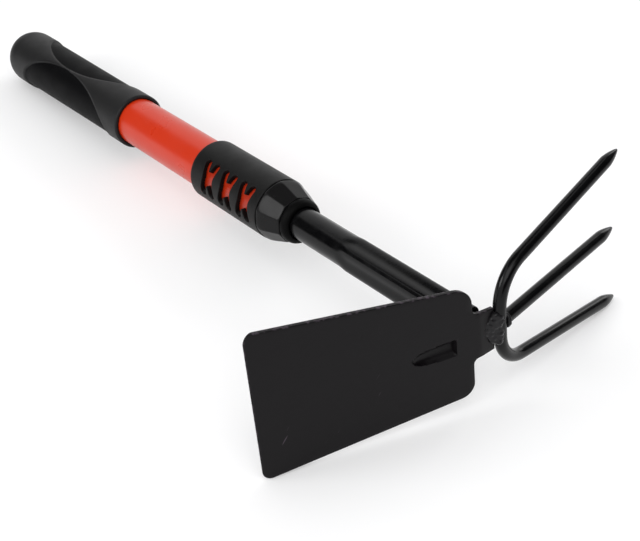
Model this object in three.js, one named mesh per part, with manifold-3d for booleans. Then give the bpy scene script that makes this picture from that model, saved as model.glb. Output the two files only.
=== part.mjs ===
// Double hoe on a telescopic handle, in millimetres.
// The shaft lies along Y with the head at the front, the tines point along +X and the blade
// along -X, and the width of the head is along Z.

import * as THREE from 'three';
import { mergeVertices } from 'three/addons/utils/BufferGeometryUtils.js';
import Module from 'manifold-3d';

const wasm = await Module();
wasm.setup();

// Clearances
const seatGap = 0.3;
const overrun = 6;

// Outer tube
const outerTubeD = 28;
const outerTubeWall = 1.5;
const outerTubeLength = 285.4;

// Inner tube
const innerTubeD = 17.3;
const innerTubeWall = 1.2;
const innerTubeShown = 124.7;
const slideRoom = 38.3;

// Crimp that presses the inner tube on the shank
const crimpLength = 88.2;
const crimpRunout = 14;
const crimpLobeRise = 0.7;
const crimpStartDepth = 1.3;
const crimpEndDepth = 2.6;
const crimpFlutes = 6;
const crimpSharpness = 4;
const crimpTurn = 135;

// Blade and its tongue
const plateThickness = 2.4;
const bladeRun = 108.3;
const bladeTilt = 13.2;
const bladeBendRadius = 5;
const edgeHalfWidth = 38.9;
const neckEndUpper = 24.8;
const neckEndLower = 32.4;
const edgeCornerRadius = 4.5;
const neckCornerUpperRadius = 9;
const neckCornerLowerRadius = 7;
const neckEdgeOffset = 3.5;
const tongueUpper = 10.8;
const tongueLower = 13.4;
const tongueEndLower = 12.3;
const tongueFillet = 3;
const bevelWidth = 5;
const edgeThickness = 0.7;

// Dart pressed in the blade
const dartOffset = 11.3;
const dartLength = 22;
const dartHalfHeight = 4.6;
const dartDepth = 3;
const dartDrop = 2.6;

// Tines
const rodD = 6.2;
const forkOffset = 11.4;
const forkHalfSpan = 23.5;
const forkSpreadAngle = 10.6;
const forkBendRadius = 19.6;
const outerTineLength = 99.7;
const middleTineLength = 95;
const tineTilt = 12.2;
const tipTaper = 11;
const tipD = 1.2;

// Shank and welds
const shankLength = 88;
const shankChamfer = 1;
const tubeSetback = 7.8;
const neckWeldD = 14.6;
const forkWeldUpper = 6.5;
const forkWeldLower = 10;
const forkWeldReach = 6;
const forkWeldRise = 0.9;
const forkWeldCorner = 2.5;
const tineWeldD = 8.6;
const tineWeldLength = 4;

// Lock nut and nose ring
const nutLength = 14.7;
const nutTaperLength = 13;
const nutFrontD = 25;
const nutFlats = 10;
const flatRearD = 33.4;
const flatFrontD = 24.4;
const nutFrontWall = 4.7;
const noseRingLength = 4.8;
const noseRingD = 24.2;
const noseMouthD = 18.8;
const noseRimLength = 1.2;
const noseStemWall = 1.35;
const nutTurn = 4;

// Collet and the ring that closes it
const colletLength = 10.6;
const colletConeLength = 3.9;
const colletWall = 1.65;
const colletConeRearD = 22;
const colletConeFrontD = 19.8;
const colletSlots = 2;
const colletSlotWidth = 1.4;
const colletSlotLength = 8;
const pressureRingLength = 3.6;
const pressureRingD = 24;

// Collar core and its rubber sleeve
const sleeveD = 33.6;
const sleeveLength = 63;
const sleeveRimRadius = 1.5;
const coreShoulder = 3;
const coreSpigotLength = 6.4;
const coreStemLength = 40;
const coreStemWall = 1.5;

// X-shaped windows in the sleeve
const windowRows = 3;
const windowColumns = 2;
const windowPitch = 16.9;
const windowFirst = 16.8;
const windowHeight = 19.8;
const windowWidth = 13.4;
const windowWaist = 8.8;
const notchWidth = 4.2;
const notchDepth = 7.4;
const windowEndRadius = 2.1;
const windowWaistRadius = 9;
const notchTipRadius = 0.5;
const windowTurn = 158;

// Guide bushes, stop and plugs
const runningGap = 0.3;
const rearBushLength = 22;
const bushLand = 4;
const bushRelief = 0.8;
const pinD = 3;
const innerPlugLength = 8;
const plugHeadLength = 2;
const plugWall = 2;
const tubePlugLength = 13;

// Rubber grip
const gripLength = 152.5;
const gripFrontD = 32.8;
const gripRearD = 34;
const gripEndWall = 7.4;
const gripDomeLength = 15;
const gripDomeFlatD = 7;
const gripRimRadius = 1.2;
const leafStart = 17;
const leafLength = 106;
const leafHalfAngle = 86;
const leafDepth = 0.9;
const leafEdge = 1.6;
const leafTurn = 27;
const leafWidestShare = 0.53;

// Mesh fineness
const roundSides = 48;
const ringSides = 40;
const smallSides = 28;
const rodSides = 14;
const bendSteps = 9;
const leafSides = 12;

const degree = Math.PI / 180;

// Places along the shaft, from the front of the head's plate to the end of the grip
const tubeFront = tubeSetback;
const crimpEnd = tubeFront + crimpLength;
const noseFront = tubeFront + innerTubeShown;
const noseRear = noseFront + noseRingLength;
const nutFront = noseRear + seatGap;
const nutRear = nutFront + nutLength;
const sleeveFront = nutRear + seatGap;
const sleeveRear = sleeveFront + sleeveLength;
const coreFace = sleeveFront + seatGap;
const spigotFront = coreFace - coreSpigotLength;
const coreStop = coreFace + coreShoulder;
const stemRear = coreStop + coreStemLength;
const outerTubeFront = coreStop + seatGap;
const outerTubeRear = outerTubeFront + outerTubeLength;
const innerTubeRear = outerTubeRear - tubePlugLength - slideRoom - plugHeadLength - seatGap;
const tubePlugHead = outerTubeRear + seatGap;
const gripBoreEnd = tubePlugHead + plugHeadLength + seatGap;
const gripRear = gripBoreEnd + gripEndWall;
const gripFront = gripRear - gripLength;

// Radii that fit on or in one another
const outerTubeR = outerTubeD / 2;
const outerBoreR = outerTubeR - outerTubeWall;
const innerTubeR = innerTubeD / 2;
const innerBoreR = innerTubeR - innerTubeWall;
const slideBoreR = innerTubeR + runningGap;
const sleeveR = sleeveD / 2;
const sleeveBoreR = outerTubeR + seatGap;
const stemR = outerBoreR - seatGap;
const stemBoreR = stemR - coreStemWall;
const nutBoreR = pressureRingD / 2 + seatGap;
const spigotR = nutBoreR - seatGap;
const colletRootR = slideBoreR + colletWall;
const noseStemR = slideBoreR + noseStemWall;
const rodR = rodD / 2;
const shankR = innerBoreR + crimpLobeRise - crimpEndDepth - seatGap;
const bushR = outerBoreR - runningGap;
const tongueEnd = forkOffset - rodR - seatGap;

function solidOf(geometry) {
  const bare = geometry.clone();
  bare.deleteAttribute('normal');
  bare.deleteAttribute('uv');
  const merged = mergeVertices(bare);
  const place = merged.attributes.position;
  const corners = [0, 1, 2].map(() => new THREE.Vector3());
  const faces = [];
  let volume = 0;
  for (let i = 0; i < merged.index.count; i += 3) {
    const face = [0, 1, 2].map((k) => merged.index.getX(i + k));
    if (new Set(face).size === 3) {
      faces.push(face);
      face.forEach((v, k) => corners[k].fromBufferAttribute(place, v));
      volume += corners[0].dot(corners[1].cross(corners[2]));
    }
  }
  if (volume < 0) faces.forEach((face) => face.reverse());
  return new wasm.Manifold(new wasm.Mesh({
    numProp: 3,
    vertProperties: new Float32Array(place.array),
    triVerts: new Uint32Array(faces.flat()),
  }));
}

function geometryOf(solid) {
  const mesh = solid.getMesh();
  const geometry = new THREE.BufferGeometry();
  geometry.setAttribute('position', new THREE.BufferAttribute(mesh.vertProperties, 3));
  geometry.setIndex(new THREE.BufferAttribute(mesh.triVerts, 1));
  geometry.computeVertexNormals();
  return geometry;
}

function latheGeometry(profile, sides) {
  const points = profile.map(([radius, y]) => new THREE.Vector2(radius, y));
  const closesOnAxis = points[0].x === 0 && points.at(-1).x === 0;
  if (!closesOnAxis) points.push(points[0].clone());
  return new THREE.LatheGeometry(points, sides);
}

function turned(profile, sides = ringSides) {
  return solidOf(latheGeometry(profile, sides));
}

function ring(outerR, innerR, front, rear, sides) {
  return turned([[innerR, front], [outerR, front], [outerR, rear], [innerR, rear]], sides);
}

function crossPin(diameter, length, y) {
  const pin = new THREE.CylinderGeometry(diameter / 2, diameter / 2, length, smallSides / 2);
  pin.rotateX(90 * degree);
  pin.translate(0, y, 0);
  return solidOf(pin);
}

// An outline whose corners are [x, y, radius], each rounded by an arc
function roundedShape(corners) {
  const shape = new THREE.Shape();
  corners.forEach(([x, y, radius], i) => {
    const corner = new THREE.Vector2(x, y);
    const before = new THREE.Vector2(...corners.at(i - 1));
    const after = new THREE.Vector2(...corners[(i + 1) % corners.length]);
    const toBefore = before.sub(corner).normalize();
    const toAfter = after.sub(corner).normalize();
    const half = Math.acos(toBefore.dot(toAfter)) / 2;
    const start = corner.clone().addScaledVector(toBefore, radius / Math.tan(half));
    if (i === 0) shape.moveTo(start.x, start.y);
    else shape.lineTo(start.x, start.y);
    if (radius > 0) {
      const end = corner.clone().addScaledVector(toAfter, radius / Math.tan(half));
      const inward = toBefore.clone().add(toAfter).normalize();
      const centre = corner.clone().addScaledVector(inward, radius / Math.sin(half));
      const from = start.clone().sub(centre).angle();
      const to = end.clone().sub(centre).angle();
      shape.absarc(centre.x, centre.y, radius, from, to, toBefore.cross(toAfter) > 0);
    }
  });
  return shape;
}

function extruded(shape, depth, curveSegments = 6) {
  const geometry = new THREE.ExtrudeGeometry(shape, { depth, bevelEnabled: false, curveSegments });
  return geometry;
}

// The inner tube's end is pressed into long flutes: the same shift moves both skins of the wall.
function crimpShift(y, angle) {
  const ramp = THREE.MathUtils.smoothstep(crimpEnd - y, 0, crimpRunout);
  const along = THREE.MathUtils.clamp((crimpEnd - y) / crimpLength, 0, 1);
  const depth = THREE.MathUtils.lerp(crimpStartDepth, crimpEndDepth, along);
  const wave = Math.cos((angle - crimpTurn * degree) * crimpFlutes / 2);
  return ramp * (crimpLobeRise - depth * Math.abs(wave) ** crimpSharpness);
}

function pressed(geometry, shiftOf) {
  const place = geometry.attributes.position;
  for (let i = 0; i < place.count; i += 1) {
    const x = place.getX(i);
    const y = place.getY(i);
    const z = place.getZ(i);
    const radius = Math.hypot(x, z);
    const scale = radius > 0 ? 1 + shiftOf(y, Math.atan2(z, x), radius) / radius : 1;
    place.setXYZ(i, x * scale, y, z * scale);
  }
  return geometry;
}

function innerTube() {
  const runoutShares = [0, 0.3, 0.6, 1];
  const crimpShares = [0.4, 0.7, 1];
  const runoutEnd = crimpEnd - crimpRunout;
  const stations = [
    ...runoutShares.map((share) => crimpEnd - share * crimpRunout),
    ...crimpShares.map((share) => runoutEnd - share * (runoutEnd - tubeFront)),
  ];
  const outside = [innerTubeRear, ...stations].map((y) => [innerTubeR, y]);
  const inside = [innerTubeRear, ...stations].map((y) => [innerBoreR, y]).reverse();
  const tube = pressed(latheGeometry([...outside, ...inside], roundSides), crimpShift);
  return solidOf(tube).subtract(crossPin(pinD + 2 * seatGap, 2 * outerTubeD, bushPinPlace()));
}

function outerTube() {
  return ring(outerTubeR, outerBoreR, outerTubeFront, outerTubeRear, roundSides);
}

function bushPinPlace() {
  return innerTubeRear - rearBushLength / 2;
}

function frontBush() {
  return ring(stemBoreR - seatGap, slideBoreR, coreStop + seatGap, stemRear, smallSides);
}

function rearBush() {
  const front = innerTubeRear - rearBushLength;
  const waistR = bushR - bushRelief;
  const bush = turned([
    [slideBoreR, front],
    [bushR, front],
    [bushR, front + bushLand],
    [waistR, front + bushLand + bushRelief],
    [waistR, innerTubeRear - bushLand - bushRelief],
    [bushR, innerTubeRear - bushLand],
    [bushR, innerTubeRear],
    [slideBoreR, innerTubeRear],
  ], smallSides);
  return bush.subtract(crossPin(pinD + 2 * seatGap, 2 * outerTubeD, bushPinPlace()));
}

function bushPin() {
  return crossPin(pinD, 2 * (bushR - bushRelief - seatGap), bushPinPlace());
}

// A cup-shaped plug pushed in the rear end of a tube, with a head that covers the tube's end
function endPlug(boreR, headR, tubeEnd, length) {
  const outsideR = boreR - seatGap;
  const headFront = tubeEnd + seatGap;
  const headRear = headFront + plugHeadLength;
  return turned([
    [0, headFront],
    [outsideR - plugWall, headFront],
    [outsideR - plugWall, tubeEnd - length],
    [outsideR, tubeEnd - length],
    [outsideR, headFront],
    [headR, headFront],
    [headR, headRear],
    [0, headRear],
  ], smallSides);
}

function innerPlug() {
  return endPlug(innerBoreR, innerTubeR, innerTubeRear, innerPlugLength);
}

function tubePlug() {
  return endPlug(outerBoreR, outerTubeR, outerTubeRear, tubePlugLength);
}

// The core is pushed in the outer tube: its flange stops the tube and its spigot carries the nut.
function collarCore() {
  const pocketRear = spigotFront + colletLength - colletConeLength;
  return turned([
    [stemBoreR, stemRear],
    [stemR, stemRear],
    [stemR, coreStop],
    [outerTubeR, coreStop],
    [outerTubeR, coreFace],
    [spigotR, coreFace],
    [spigotR, spigotFront],
    [colletRootR + seatGap, spigotFront],
    [colletRootR + seatGap, pocketRear],
    [slideBoreR, pocketRear],
    [slideBoreR, coreStop],
    [stemBoreR, coreStop],
  ]);
}

// An X with straight wide arms: it narrows at the waist, and a notch runs in from each end.
function windowShape() {
  const top = windowHeight / 2;
  const corner = windowWidth / 2;
  const notch = notchWidth / 2;
  const half = [
    [windowWaist / 2, 0, windowWaistRadius],
    [corner, top, windowEndRadius],
    [notch, top, windowEndRadius],
    [0, top - notchDepth, notchTipRadius],
    [-notch, top, windowEndRadius],
    [-corner, top, windowEndRadius],
  ];
  return roundedShape([...half, ...half.map(([x, y, radius]) => [-x, -y, radius])]);
}

// A window stands on the sleeve: x of its outline runs along the shaft.
function windowCutter(column, row) {
  const turn = windowTurn * degree + column * 2 * Math.PI / windowColumns;
  const y = sleeveRear - windowFirst - row * windowPitch;
  const outward = new THREE.Vector3(Math.cos(turn), 0, Math.sin(turn));
  const alongShaft = new THREE.Vector3(0, 1, 0);
  const across = new THREE.Vector3().crossVectors(outward, alongShaft);
  const place = new THREE.Matrix4().makeBasis(alongShaft, across, outward);
  place.setPosition(outward.clone().multiplyScalar(outerTubeR / 2).setY(y));
  const cutter = extruded(windowShape(), sleeveR, 2);
  cutter.applyMatrix4(place);
  return solidOf(cutter);
}

function collarSleeve() {
  const rimR = sleeveR - sleeveRimRadius;
  let sleeve = turned([
    [sleeveBoreR, sleeveRear],
    [rimR, sleeveRear],
    [sleeveR - sleeveRimRadius * 0.3, sleeveRear - sleeveRimRadius * 0.3],
    [sleeveR, sleeveRear - sleeveRimRadius],
    [sleeveR, sleeveFront],
    [sleeveBoreR, sleeveFront],
  ]);
  for (let column = 0; column < windowColumns; column += 1) {
    for (let row = 0; row < windowRows; row += 1) {
      sleeve = sleeve.subtract(windowCutter(column, row));
    }
  }
  return sleeve;
}

// The nut's nose narrows in a quarter ellipse, and flats for the fingers cut across it.
function lockNut() {
  const taperShares = [0, 0.35, 0.6, 0.8, 0.93, 1];
  const frontR = nutFrontD / 2;
  const taperRear = nutFront + nutTaperLength;
  const nose = taperShares.map((share) => [
    frontR + (sleeveR - frontR) * Math.sqrt(1 - share ** 2),
    taperRear - share * nutTaperLength,
  ]);
  let nut = turned([
    [nutBoreR, nutRear],
    [sleeveR, nutRear],
    ...nose,
    [noseStemR + seatGap, nutFront],
    [noseStemR + seatGap, nutFront + nutFrontWall],
    [nutBoreR, nutFront + nutFrontWall],
  ], roundSides);
  const slope = Math.atan2((flatRearD - flatFrontD) / 2, nutLength);
  for (let i = 0; i < nutFlats; i += 1) {
    const cutter = new THREE.BoxGeometry(sleeveR, 2 * nutLength, sleeveD);
    cutter.translate(sleeveR / 2, 0, 0);
    cutter.rotateZ(-slope);
    cutter.translate((flatRearD + flatFrontD) / 4, (nutFront + nutRear) / 2, 0);
    cutter.rotateY((nutTurn + i * 360 / nutFlats) * degree);
    nut = nut.subtract(solidOf(cutter));
  }
  return nut;
}

function noseRing() {
  const outsideR = noseRingD / 2;
  const mouthR = noseMouthD / 2;
  const slopeLength = noseRingLength - noseRimLength;
  const slopeShares = [0, 0.4, 0.8, 1];
  const slope = slopeShares.map((share) => [
    mouthR + (outsideR - mouthR) * Math.sqrt(1 - share ** 2),
    noseRear - noseRimLength - share * slopeLength,
  ]);
  return turned([
    [slideBoreR, noseRear + nutFrontWall - seatGap],
    [noseStemR, noseRear + nutFrontWall - seatGap],
    [noseStemR, noseRear],
    [outsideR, noseRear],
    ...slope,
    [slideBoreR, noseFront],
  ]);
}

function colletRear() {
  return spigotFront + colletLength - colletConeLength - seatGap;
}

function collet() {
  const coneRear = spigotFront - seatGap;
  const coneFront = coneRear - colletConeLength;
  let body = turned([
    [slideBoreR, colletRear()],
    [colletRootR, colletRear()],
    [colletRootR, coneRear],
    [colletConeRearD / 2, coneRear],
    [colletConeFrontD / 2, coneFront],
    [slideBoreR, coneFront],
  ]);
  for (let i = 0; i < colletSlots; i += 1) {
    const slot = new THREE.BoxGeometry(pressureRingD, colletSlotLength + overrun, colletSlotWidth);
    slot.translate(0, coneFront + (colletSlotLength - overrun) / 2, 0);
    slot.rotateY(i * Math.PI / colletSlots);
    body = body.subtract(solidOf(slot));
  }
  return body;
}

function pressureRing() {
  const coneRear = spigotFront - seatGap;
  const front = nutFront + nutFrontWall + seatGap;
  const rear = front + pressureRingLength;
  const slope = (colletConeRearD - colletConeFrontD) / 2 / colletConeLength;
  const coneR = (y) => colletConeRearD / 2 + seatGap - slope * (coneRear - y);
  return turned([
    [coneR(front), front],
    [pressureRingD / 2, front],
    [pressureRingD / 2, rear],
    [coneR(rear), rear],
  ]);
}

// Half the angle that a leaf-shaped panel takes up round the grip at one place along it
function leafReach(y) {
  const share = (y - gripFront - leafStart) / leafLength;
  const side = share < leafWidestShare ? leafWidestShare : 1 - leafWidestShare;
  const span = 1 - ((share - leafWidestShare) / side) ** 2;
  return span > 0 ? leafHalfAngle * degree * Math.sqrt(span) : 0;
}

// Angle and depth round the grip: the mesh follows the leaf's edge, so that the edge stays sharp
function gripColumns(y, radius) {
  const reach = leafReach(y);
  const edge = leafEdge / radius;
  const floor = Math.max(reach, edge);
  const depth = reach > 0 ? leafDepth * Math.min(1, reach / (4 * edge)) : 0;
  const columns = [];
  for (let leaf = 0; leaf < 2; leaf += 1) {
    const middle = leafTurn * degree + leaf * Math.PI;
    for (let i = 0; i <= leafSides; i += 1) {
      columns.push([middle + floor * (2 * i / leafSides - 1), depth]);
    }
    const from = middle + floor + edge;
    const to = middle + Math.PI - floor - edge;
    const bandSides = leafSides - 2;
    for (let i = 0; i <= bandSides; i += 1) {
      columns.push([from + (to - from) * i / bandSides, 0]);
    }
  }
  return columns;
}

// A closed skin through rings of points that all have the same number of points
function skinned(rings) {
  const count = rings[0].length;
  const points = rings.flat();
  const faces = [];
  for (let i = 0; i < rings.length - 1; i += 1) {
    for (let k = 0; k < count; k += 1) {
      const next = (k + 1) % count;
      const [a, b] = [i * count + k, i * count + next];
      const [c, d] = [a + count, b + count];
      faces.push(a, b, d, a, d, c);
    }
  }
  [0, rings.length - 1].forEach((end) => {
    const middle = new THREE.Vector3();
    rings[end].forEach((point) => middle.addScaledVector(point, 1 / count));
    points.push(middle);
    for (let k = 0; k < count; k += 1) {
      const [a, b] = [end * count + k, end * count + (k + 1) % count];
      faces.push(points.length - 1, ...(end === 0 ? [b, a] : [a, b]));
    }
  });
  const geometry = new THREE.BufferGeometry().setFromPoints(points);
  geometry.setIndex(faces);
  return solidOf(geometry);
}

// The grip swells towards its closed end, and two leaf-shaped panels are sunk in its sides.
function rearGrip() {
  const leafSteps = 14;
  const domeShares = [0.3, 0.55, 0.75, 0.9, 1];
  const frontR = gripFrontD / 2;
  const rearR = gripRearD / 2;
  const domeStart = gripRear - gripDomeLength;
  const bodyFront = gripFront + gripRimRadius;
  const leafFront = gripFront + leafStart;
  const leafStations = Array.from({ length: leafSteps + 1 }, (_, i) => {
    const share = (1 - Math.cos(i * Math.PI / leafSteps)) / 2;
    return Math.min(leafFront + share * leafLength, domeStart);
  });
  const leafRear = leafStations[leafSteps];
  const stations = [
    bodyFront, (bodyFront + leafFront) / 2, ...leafStations, (leafRear + domeStart) / 2, domeStart,
  ];
  const body = stations.map((y) => {
    const swell = THREE.MathUtils.smoothstep(y, bodyFront, domeStart);
    return [frontR + (rearR - frontR) * swell, y];
  });
  const flatR = gripDomeFlatD / 2;
  const dome = domeShares.map((share) => [
    flatR + (rearR - flatR) * Math.sqrt(1 - share ** 2),
    domeStart + share * gripDomeLength,
  ]);
  const profile = [[frontR - gripRimRadius, gripFront], ...body, ...dome];
  const skin = skinned(profile.map(([radius, y]) => gripColumns(y, radius).map(([angle, depth]) => (
    new THREE.Vector3(Math.cos(angle), 0, Math.sin(angle)).multiplyScalar(radius - depth).setY(y)
  ))));
  const bore = ring(sleeveBoreR, 0, gripFront - overrun, gripBoreEnd, roundSides);
  return skin.subtract(bore);
}

// The plate seen from above: a flat tongue, a bend, and the blade leaning back to the shaft
function plateStrip() {
  const tilt = bladeTilt * degree;
  const outerR = bladeBendRadius + plateThickness;
  const centre = [outerR * Math.tan(tilt / 2), outerR];
  const along = new THREE.Vector2(-Math.cos(tilt), Math.sin(tilt)).multiplyScalar(bladeRun + overrun);
  const backStart = new THREE.Vector2(-Math.sin(tilt), -Math.cos(tilt)).multiplyScalar(bladeBendRadius);
  backStart.add(new THREE.Vector2(...centre));
  const strip = new THREE.Shape();
  strip.moveTo(tongueEnd, 0);
  strip.lineTo(centre[0], 0);
  strip.absarc(...centre, outerR, -90 * degree, -90 * degree - tilt, true);
  const front = strip.currentPoint.clone().add(along);
  const back = backStart.clone().add(along);
  strip.lineTo(front.x, front.y);
  strip.lineTo(back.x, back.y);
  strip.absarc(...centre, bladeBendRadius, -90 * degree - tilt, -90 * degree, false);
  strip.lineTo(tongueEnd, plateThickness);
  const height = 2 * (edgeHalfWidth + overrun);
  const geometry = extruded(strip, height);
  geometry.translate(0, 0, -height / 2);
  return solidOf(geometry);
}

// Directions of the blade: towards its edge, backwards, and down
function bladeFrame() {
  const tilt = bladeTilt * degree;
  const alongBlade = new THREE.Vector3(-Math.cos(tilt), Math.sin(tilt), 0);
  const backwards = new THREE.Vector3(Math.sin(tilt), Math.cos(tilt), 0);
  return new THREE.Matrix4().makeBasis(alongBlade, backwards, new THREE.Vector3(0, 0, -1));
}

// Everything in front of the plate's back, with the clearance of a seated piece
function plateClearance() {
  const size = bladeRun;
  const depth = plateThickness + seatGap;
  const leaning = new THREE.BoxGeometry(size, size, size);
  leaning.translate(size / 2, depth - size / 2, 0);
  leaning.applyMatrix4(bladeFrame());
  const level = new THREE.BoxGeometry(size, size, size);
  level.translate(size / 2 - shankR, depth - size / 2, 0);
  return solidOf(leaning).add(solidOf(level));
}

// The seen outline of blade and tongue, which cuts the bent strip
function plateOutline() {
  const tilt = bladeTilt * degree;
  const edgeX = -bladeRun * Math.cos(tilt);
  const neckX = -neckEdgeOffset;
  const outline = roundedShape([
    [tongueEnd + overrun, -tongueEndLower, 0],
    [neckX, -tongueLower, tongueFillet],
    [neckX, -neckEndLower, neckCornerLowerRadius],
    [edgeX, -edgeHalfWidth, edgeCornerRadius],
    [edgeX, edgeHalfWidth, edgeCornerRadius],
    [neckX, neckEndUpper, neckCornerUpperRadius],
    [neckX, tongueUpper, tongueFillet],
    [tongueEnd + overrun, tongueUpper, 0],
  ]);
  const depth = bladeRun;
  const geometry = extruded(outline, depth, 8);
  geometry.rotateX(90 * degree);
  geometry.translate(0, depth - overrun, 0);
  return solidOf(geometry);
}

function halfDome(length, depth, halfHeight) {
  const dome = new THREE.SphereGeometry(1, 20, 12);
  dome.scale(length, depth, halfHeight);
  const half = new THREE.BoxGeometry(length, 2 * depth, 2 * halfHeight);
  half.scale(1, 2, 2);
  half.translate(length / 2, 0, 0);
  return solidOf(dome).intersect(solidOf(half));
}

// The dart is a pocket in the front of the plate and a swelling on its back.
function hoeBlade() {
  const frame = bladeFrame();
  const place = (solid, x, y, z) => {
    const at = new THREE.Matrix4().makeTranslation(x, y, z).premultiply(frame);
    return solid.transform(at.elements);
  };
  const wall = plateThickness;
  const swelling = halfDome(dartLength + wall, dartDepth + wall, dartHalfHeight + wall);
  const pocket = halfDome(dartLength, dartDepth, dartHalfHeight);
  const backOnly = new THREE.BoxGeometry(4 * dartLength, 4 * dartLength, 4 * dartLength);
  backOnly.translate(0, 2 * dartLength, 0);
  const bump = place(swelling, dartOffset - wall / 2, 0, dartDrop)
    .intersect(place(solidOf(backOnly), dartOffset, wall / 2, 0));
  const bevel = new THREE.BoxGeometry(4 * bevelWidth, 2 * bevelWidth, 4 * edgeHalfWidth);
  bevel.translate(0, bevelWidth, 0);
  bevel.rotateZ(-Math.atan2(plateThickness - edgeThickness, bevelWidth));
  const edge = solidOf(bevel);
  return plateStrip()
    .intersect(plateOutline())
    .add(bump)
    .subtract(place(pocket, dartOffset, 0, dartDrop))
    .subtract(place(edge, bladeRun - bevelWidth, plateThickness, 0));
}

// How far along a flat path the rings of a rod stand: at the ends of its lines, and round its bends
function pathPlaces(path) {
  const ends = path.getCurveLengths();
  const places = path.curves.flatMap((curve, i) => {
    const from = i > 0 ? ends[i - 1] : 0;
    const steps = curve.isEllipseCurve ? bendSteps : 1;
    return Array.from({ length: steps }, (_, k) => from + (ends[i] - from) * (k + 1) / steps);
  });
  return [0, ...places];
}

// A ground point: places back from the tip, and the radius there
function pointPlaces() {
  const taperShares = [0, 0.04, 0.3, 0.6, 1];
  const nibR = tipD / 2;
  return taperShares.map((share) => [
    share * tipTaper,
    share > 0 ? nibR + (rodR - nibR) * (1 - (1 - share) ** 1.6) : nibR * 0.7,
  ]);
}

// A round rod along a flat path, tilted back from the plate; each station is a place and a radius
function rodAlong(path, stations) {
  const length = path.getLength();
  const tilt = tineTilt * degree;
  const rings = stations.map(([place, radius]) => {
    const share = THREE.MathUtils.clamp(place / length, 0, 1);
    const point = path.getPoint(share);
    const tangent = path.getTangent(share);
    return Array.from({ length: rodSides }, (_, k) => {
      const turn = (k + 0.5) * 2 * Math.PI / rodSides;
      const across = radius * Math.cos(turn);
      const corner = new THREE.Vector3(
        point.x - tangent.y * across,
        radius * Math.sin(turn),
        point.y + tangent.x * across,
      );
      return corner.applyAxisAngle(new THREE.Vector3(0, 0, 1), tilt).setX(corner.x + forkOffset);
    });
  });
  return skinned(rings);
}

// A bent rod whose base stands across the shaft and whose two arms are ground to points
function tineFork() {
  const spread = forkSpreadAngle * degree;
  const turn = 90 * degree - spread;
  const straight = forkHalfSpan - forkBendRadius * Math.tan(turn / 2);
  const tipX = outerTineLength * Math.cos(spread);
  const tipZ = forkHalfSpan + outerTineLength * Math.sin(spread);
  const bendX = forkBendRadius * (1 - Math.sin(spread));
  const bendZ = straight + forkBendRadius * Math.cos(spread);
  const path = new THREE.Path();
  path.moveTo(tipX, -tipZ);
  path.lineTo(bendX, -bendZ);
  path.absarc(forkBendRadius, -straight, forkBendRadius, 270 * degree - spread, Math.PI, true);
  path.absarc(forkBendRadius, straight, forkBendRadius, Math.PI, 90 * degree + spread, true);
  path.lineTo(tipX, tipZ);
  const length = path.getLength();
  const points = pointPlaces();
  return rodAlong(path, [
    ...points,
    ...pathPlaces(path).slice(1, -1).map((place) => [place, rodR]),
    ...points.map(([place, radius]) => [length - place, radius]).reverse(),
  ]);
}

function middleTine() {
  const path = new THREE.Path();
  path.moveTo(middleTineLength, 0);
  path.lineTo(0, 0);
  const saddle = new THREE.CylinderGeometry(rodR + seatGap, rodR + seatGap, forkHalfSpan, smallSides);
  saddle.rotateX(90 * degree);
  saddle.translate(forkOffset, 0, 0);
  const behind = new THREE.BoxGeometry(forkOffset, forkOffset, forkOffset);
  behind.translate(forkOffset / 2, 0, 0);
  return rodAlong(path, [...pointPlaces(), [middleTineLength, rodR]])
    .subtract(solidOf(saddle))
    .subtract(solidOf(behind));
}

function shank() {
  const rear = plateThickness + seatGap + shankLength;
  return turned([
    [0, 0],
    [shankR, 0],
    [shankR, rear - shankChamfer],
    [shankR - shankChamfer, rear],
    [0, rear],
  ], smallSides).subtract(plateClearance());
}

// Weld round the shank, between the back of the plate and the end of the tube
function neckWeld() {
  const rear = tubeFront - seatGap;
  return turned([
    [shankR + seatGap, 0],
    [neckWeldD / 2, 0],
    [neckWeldD / 2, (plateThickness + rear) / 2],
    [innerTubeR - innerTubeWall, rear],
    [shankR + seatGap, rear],
  ], smallSides).subtract(plateClearance());
}

// Weld beads that fill the corners between the tongue and the fork, in front and behind
function forkWeld(side) {
  const face = side > 0 ? plateThickness + seatGap : -seatGap;
  const rise = side * (rodR + seatGap + forkWeldRise);
  const toeX = forkOffset - rodR - forkWeldReach;
  const endX = side > 0 ? forkOffset : forkOffset + rodR / 4;
  const section = new THREE.Shape();
  section.moveTo(toeX, face);
  section.lineTo(toeX, face + side * seatGap);
  section.quadraticCurveTo((toeX + forkOffset) / 2, rise, forkOffset - rodR / 2, rise);
  section.lineTo(endX, rise - side * forkWeldRise / 3);
  section.lineTo(endX, face);
  const depth = forkWeldUpper + forkWeldLower;
  const bead = extruded(section, depth, 4);
  bead.translate(0, 0, -forkWeldLower);
  const outline = extruded(roundedShape([
    [toeX - seatGap, -forkWeldLower, forkWeldCorner],
    [forkOffset + rodR, -forkWeldLower, forkWeldCorner],
    [forkOffset + rodR, forkWeldUpper, forkWeldCorner],
    [toeX - seatGap, forkWeldUpper, forkWeldCorner],
  ]), 4 * rodD, 2);
  outline.rotateX(90 * degree);
  outline.translate(0, 2 * rodD, 0);
  const clear = new THREE.CylinderGeometry(rodR + seatGap, rodR + seatGap, 4 * forkWeldLower, smallSides);
  clear.rotateX(90 * degree);
  clear.translate(forkOffset, 0, 0);
  const neckR = neckWeldD / 2 + seatGap;
  const neck = new THREE.CylinderGeometry(neckR, neckR, 2 * tubeSetback, smallSides);
  neck.translate(0, tubeSetback + plateThickness, 0);
  return solidOf(bead)
    .intersect(solidOf(outline))
    .subtract(solidOf(clear))
    .subtract(solidOf(neck));
}

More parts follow.
